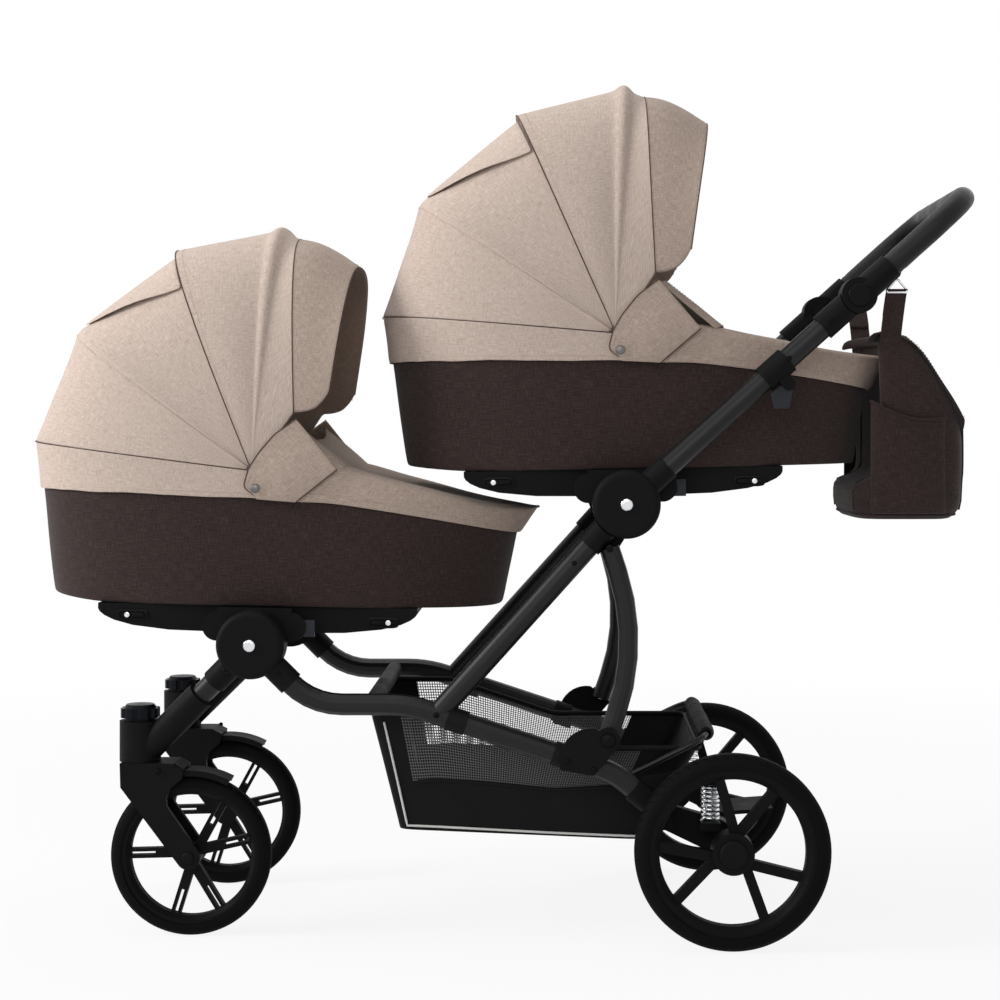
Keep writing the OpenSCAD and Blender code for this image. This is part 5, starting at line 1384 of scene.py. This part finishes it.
def buildStraps():
    p = strapPlan
    ribbons, rings, threads = [], Parts(), Parts()
    low, wide = p["ringTop"] - p["ringHigh"], p["ringWide"] / 2
    head = low + 1.5
    route = p["up"] + [(y, head + z) for y, z in p["over"]] + p["down"]
    for sign, label in ((-1, "Left"), (1, "Right")):
        grid = [[mm((p["x"] + w, sign * y, z)) for w in p["across"]] for y, z in route]
        strap = clothPiece("bagStrap" + label, grid, [brownCloth], 0.0016, "bag", "brown_fabric", "hung",
                           ["handle_fittings"], offset=0.0)
        ribbons.append(strap)
        c = [(-wide, low), (wide, low), (0.0, p["ringTop"] - 1.0)]
        path = []
        for i in range(3):
            a, b = np.asarray(c[i]), np.asarray(c[(i + 1) % 3])
            for t in (0.12, 0.3, 0.5, 0.7, 0.88):
                q = a + (b - a) * t
                path.append(mm((p["x"] + q[0], sign * p["ringY"], q[1])))
        rings.grid(tubeGrid(path, p["wire"] / 1000, 10, True), True, False)
        for w in (-13.5, 13.5):
            line = [mm((p["x"] + w, sign * (y + 1.1), z)) for y, z in route[:8]]
            stitchRow(threads, line, [(0, sign, 0.3)] * len(line))
    hooks = rings.piece("bagRings", steel, 60)
    sewn = threads.piece("bagStrapStitches", brownCloth)
    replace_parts(ribbons[0], "bag_straps")
    for part, slot in ((hooks, "bright_steel"), (sewn, "brown_fabric")):
        fit(part, "bag", slot)
    print("straps hung")


buildStraps()

# padded cover of the grip, stitched along its inner side, with a turned hem at each end
gripPlan = {"tilt": (552.0, 966.8), "angle": 42.0, "start": 66.3, "long": 229.0, "half": 232.0, "bend": 78.0,
            "r": 17.4, "hem": 9.0, "sides": 32}


def buildGrip():
    p = gripPlan
    inner, side = p["long"] - p["bend"], p["half"] - p["bend"]
    flat = [(p["start"] + (inner - p["start"]) * i / 16, -p["half"]) for i in range(17)]
    turns = [pi / 2 * i / 24 for i in range(1, 25)]
    flat += [(inner + p["bend"] * sin(a), -side - p["bend"] * cos(a)) for a in turns]
    flat += [(p["long"], -side + side * i / 30) for i in range(1, 31)]
    flat += [(u, -v) for u, v in flat[-2::-1]]
    c, s = cos(radians(p["angle"])), sin(radians(p["angle"]))
    path = [((p["tilt"][0] + u * c) / 1000, v / 1000, (p["tilt"][1] + u * s) / 1000) for u, v in flat]
    gone = [0.0]
    for a, b in zip(flat, flat[1:]):
        gone.append(gone[-1] + dist(a, b))
    radii = []
    for g in gone:
        end = min(g, gone[-1] - g)
        soft = 0.35 * waver((g, 0, 0), 0.03, 6.2) * min(1.0, end / 20)
        dent = 0.9 * exp(-((end - p["hem"]) / 2.2) ** 2) + max(0.0, 1 - end / 2.0)
        radii.append((p["r"] - dent + soft) / 1000)
    grid = tubeGrid(path, radii, p["sides"])
    cover = Parts()
    cover.grid(grid)
    foam = cover.piece("gripFoam", leather, 60)
    seam = Parts()
    line, out = [], []
    for i in range(3, len(path) - 3):
        ahead = np.asarray(flat[i + 1]) - np.asarray(flat[i - 1])
        ahead /= np.linalg.norm(ahead)
        inward = np.asarray((-ahead[1], ahead[0]))
        way = Vector((inward[0] * c, inward[1], inward[0] * s))
        line.append(Vector(path[i]) + way * radii[i])
        out.append(tuple(way))
    stitchRow(seam, line, out)
    thread = seam.piece("gripStitches", leather)
    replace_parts(foam, "grip_cover")
    for part in (foam, thread):
        fit(part, "grip", "foam_grip")
    print("grip covered")


buildGrip()

# coil springs between the arms and their caps
springPlan = {"x": 331.0, "low": 181.0, "high": 237.0, "y": 232.0, "d": 29.0, "wire": 3.8, "turns": 8,
              "keep": 0.905}


def buildSprings():
    p = springPlan
    coil = Parts()
    r = (p["d"] - p["wire"]) / 2
    for sign in (-1, 1):
        path = []
        for i in range(p["turns"] * 24 + 1):
            t = i / 24
            z = p["low"] + p["wire"] / 2 + (p["high"] - p["low"] - p["wire"]) * t / p["turns"]
            a = 2 * pi * t
            path.append(mm((p["x"] - r * cos(a), sign * p["y"] + r * sin(a), z)))
        coil.grid(tubeGrid(path, p["wire"] / 2000, 10))
    piece = coil.piece("coilSprings", steel, 60)
    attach(piece, "chassis")
    p["x"] / 1000
    p["high"] / 1000
    p["keep"]
    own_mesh(piece)
    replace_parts(piece, "suspension_springs")


buildSprings()

# dark screws that hold the tubes, and caps on the leg bolts
boltPlan = {"chassis": [(-77.0, 342.0, 248.2, 4.6), (117.5, 273.5, 252.6, 4.6), (157.0, 261.0, 252.6, 4.6),
                        (181.0, 590.0, 246.6, 6.0), (128.0, 568.0, 248.2, 4.0), (-389.0, 409.0, 251.0, 4.2),
                        (-312.0, 405.0, 251.0, 4.2)],
            "handle": [(447.0, 872.5, 252.0, 4.4), (510.0, 928.5, 252.0, 4.0)],
            "fork_left": [(-498.0, 252.0, -213.3, 4.2), (-472.0, 262.0, -213.3, 3.6)],
            "fork_right": [(-498.0, 252.0, 213.3, 4.2), (-472.0, 262.0, 213.3, 3.6)]}
capPlan = {"at": (178.0, 305.3), "y": 252.9,
           "shape": [(10.4, 0.0), (10.6, 1.0), (10.4, 4.4), (9.0, 6.4), (5.5, 7.5), (0.4, 7.9)]}


def buildBolts():
    for body, spots in boltPlan.items():
        heads = Parts()
        for x, z, y, r in spots:
            for sign in ((1,) if "fork" in body else (-1, 1)):
                boltHead(heads, (x / 1000, sign * y / 1000, z / 1000), (0, copysign(1, sign * y), 0), r / 1000)
        if body == "chassis":
            x, z = capPlan["at"]
            for sign in (-1, 1):
                turned(heads, (x / 1000, sign * capPlan["y"] / 1000, z / 1000), (0, sign, 0),
                        [(r / 1000, h / 1000) for r, h in capPlan["shape"]])
        piece = heads.piece(body + "Screws", smoothPlastic, 35)
        fit(piece, body, "frame_plastic")


buildBolts()


# latches and bolts in the base trays
latchPlan = {"y": 166.3, "spots": [(-200.0, 34.5, 1), (198.5, 29.5, -1)],
             "plate": [(0.0, 0.0), (1.4, 0.0), (2.0, -1.2), (2.0, -3.6), (0.4, -4.6)],
             "key": [(0.4, 0.0), (2.6, 0.0), (3.0, -0.8)]}


# a raised plate with rounded corners: rows of how far out and how much smaller
def plate(parts, cot, at, size, sign, rows, sides):
    x, y, z = at
    long, high = size
    parts.grid([[cot.point(x + a * (long + grow), y + sign * out, z + b * (high + grow))
                 for a, b in superRing(sides)] for out, grow in rows])


def buildLatches(cot):
    plates, heads, levers = Parts(), Parts(), Parts()
    for x, z, way in latchPlan["spots"]:
        for sign in (-1, 1):
            y = sign * latchPlan["y"]
            plate(plates, cot, (x + 8 * way, y, z), (24, 8.5), sign, latchPlan["plate"], 28)
            boltHead(heads, cot.point(x, y + sign * 1.2, z), cot.turn(0, sign, 0), 0.0046)
            plate(levers, cot, (x + 17 * way, y, z), (8.5, 3.4), sign, latchPlan["key"], 20)
    for parts, label, finish, slot in ((plates, "LatchPlates", smoothPlastic, "frame_plastic"),
            (heads, "LatchBolts", steel, "bright_steel"), (levers, "LatchKeys", hardPlastic, "frame_plastic")):
        piece = parts.piece(cot.name + label, finish, 35)
        fit(piece, cot.body, slot)


def superRing(n, e=0.45):
    out = []
    for k in range(n):
        a = 2 * pi * k / n
        c, s = cos(a), sin(a)
        out.append((copysign(abs(c) ** e, c), copysign(abs(s) ** e, s)))
    return out


for cot in cots:
    buildLatches(cot)
print("fittings placed")

# finishes of the CAD nodes
nodePlan = [(tubeCoat, ("main_tubes", "seat_posts", "rear_legs", "front_legs", "handle_tubes", "basket_rail")),
            (steel, ("frame_bolts", "grip_bar", "rear_axle")),
            (leverPlastic, ("fold_triggers", "front_release_tabs", "rear_release_tabs")),
            (smoothPlastic, ("tilt_button_left", "tilt_button_right"))]
nodeFinish = {name: finish for finish, names in nodePlan for name in names}
for name, obj in nodes.items():
    finish = nodeFinish.get(name, hardPlastic)
    if "swivel_lock" in name:
        finish = lockPlastic
    elif name == "front_crossbar":
        finish = coatedCloth("paddedBarCover", finishPlan["coated"], "Object")
    elif "tyre" in name:
        low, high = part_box(name)
        centre = tuple((a + b) / 2 for a, b in zip(low, high))
        finish = tyreRubber(name + "Rubber", finishPlan["rubber"], centre, (high[2] - low[2]) / 2)
    obj.data.materials.clear()
    obj.data.materials.append(finish)
    obj.data.polygons.foreach_set("use_smooth", [True] * len(obj.data.polygons))
    obj.data.set_sharp_from_angle(angle=radians(32))
print("CAD nodes finished")


# pale floor that fades into the white behind, soft studio light
studioPlan = {"floor": (0.82, 0.82, 0.82), "fade": (1.2, 3.2), "seen": 0.88, "world": 0.28,
              "lamps": [("key", (-4.4, -1.1, 2.6), 2.2, 175.0), ("front", (-0.6, -4.6, 2.4), 3.0, 46.0),
                        ("rim", (2.2, 2.4, 3.0), 2.5, 16.0), ("top", (-0.6, 0.4, 4.2), 3.2, 50.0)]}


class Sky(Finish):
    def __init__(self, name):
        scene.world = bpy.data.worlds.new(name)
        self.start(scene.world, "ShaderNodeOutputWorld")


# camera, mirror and see-through rays meet plain white
def plainRays(f):
    ray = f.node("ShaderNodeLightPath")
    return ray["Is Camera Ray"].math("MAXIMUM", ray["Is Glossy Ray"]).math("MAXIMUM", ray["Is Transmission Ray"])


def lightStudio(plan):
    sky = Sky("studio")
    soft = sky.node("ShaderNodeBackground", {}, {"Color": (1, 1, 1), "Strength": plan["world"]})[0]
    white = sky.node("ShaderNodeBackground", {}, {"Color": (1, 1, 1), "Strength": 1.0})[0]
    blend = sky.node("ShaderNodeMixShader", {}, {0: plainRays(sky), 1: soft, 2: white})[0]
    sky.end(blend)
    for name, place, size, power in plan["lamps"]:
        lamp = bpy.data.lights.new(name, "AREA")
        lamp.shape = "DISK"
        lamp.size = size
        lamp.energy = power
        obj = bpy.data.objects.new(name, lamp)
        obj.location = place
        obj.rotation_euler = (Vector((0, 0, 0.6)) - Vector(place)).to_track_quat("-Z", "Y").to_euler()
        scene.collection.objects.link(obj)
    f = Finish("paleFloor")
    x, y, _ = f.split(f.coords())
    reach = (x * x + y * y) ** 0.5
    fade = f.range(reach, plan["fade"][0], plan["fade"][1], (plan["seen"], 1.0)) * plainRays(f)
    matt = f.node("ShaderNodeBsdfDiffuse", {}, {"Color": plan["floor"]})["BSDF"]
    glow = f.node("ShaderNodeEmission", {}, {"Color": (1, 1, 1), "Strength": 1.0})["Emission"]
    both = f.node("ShaderNodeMixShader", {}, {0: fade, 1: matt, 2: glow})[0]
    f.end(both)
    n = 24
    floor = [[(-14 + 28 * i / n, -14 + 28 * j / n, 0.0) for j in range(n + 1)] for i in range(n + 1)]
    ground = linkPiece("floor", gridMesh("floor", floor, False, (0, 0, -1)), [f.mat])


lightStudio(studioPlan)
scene.view_settings.view_transform = "Standard"
print("studio lit")
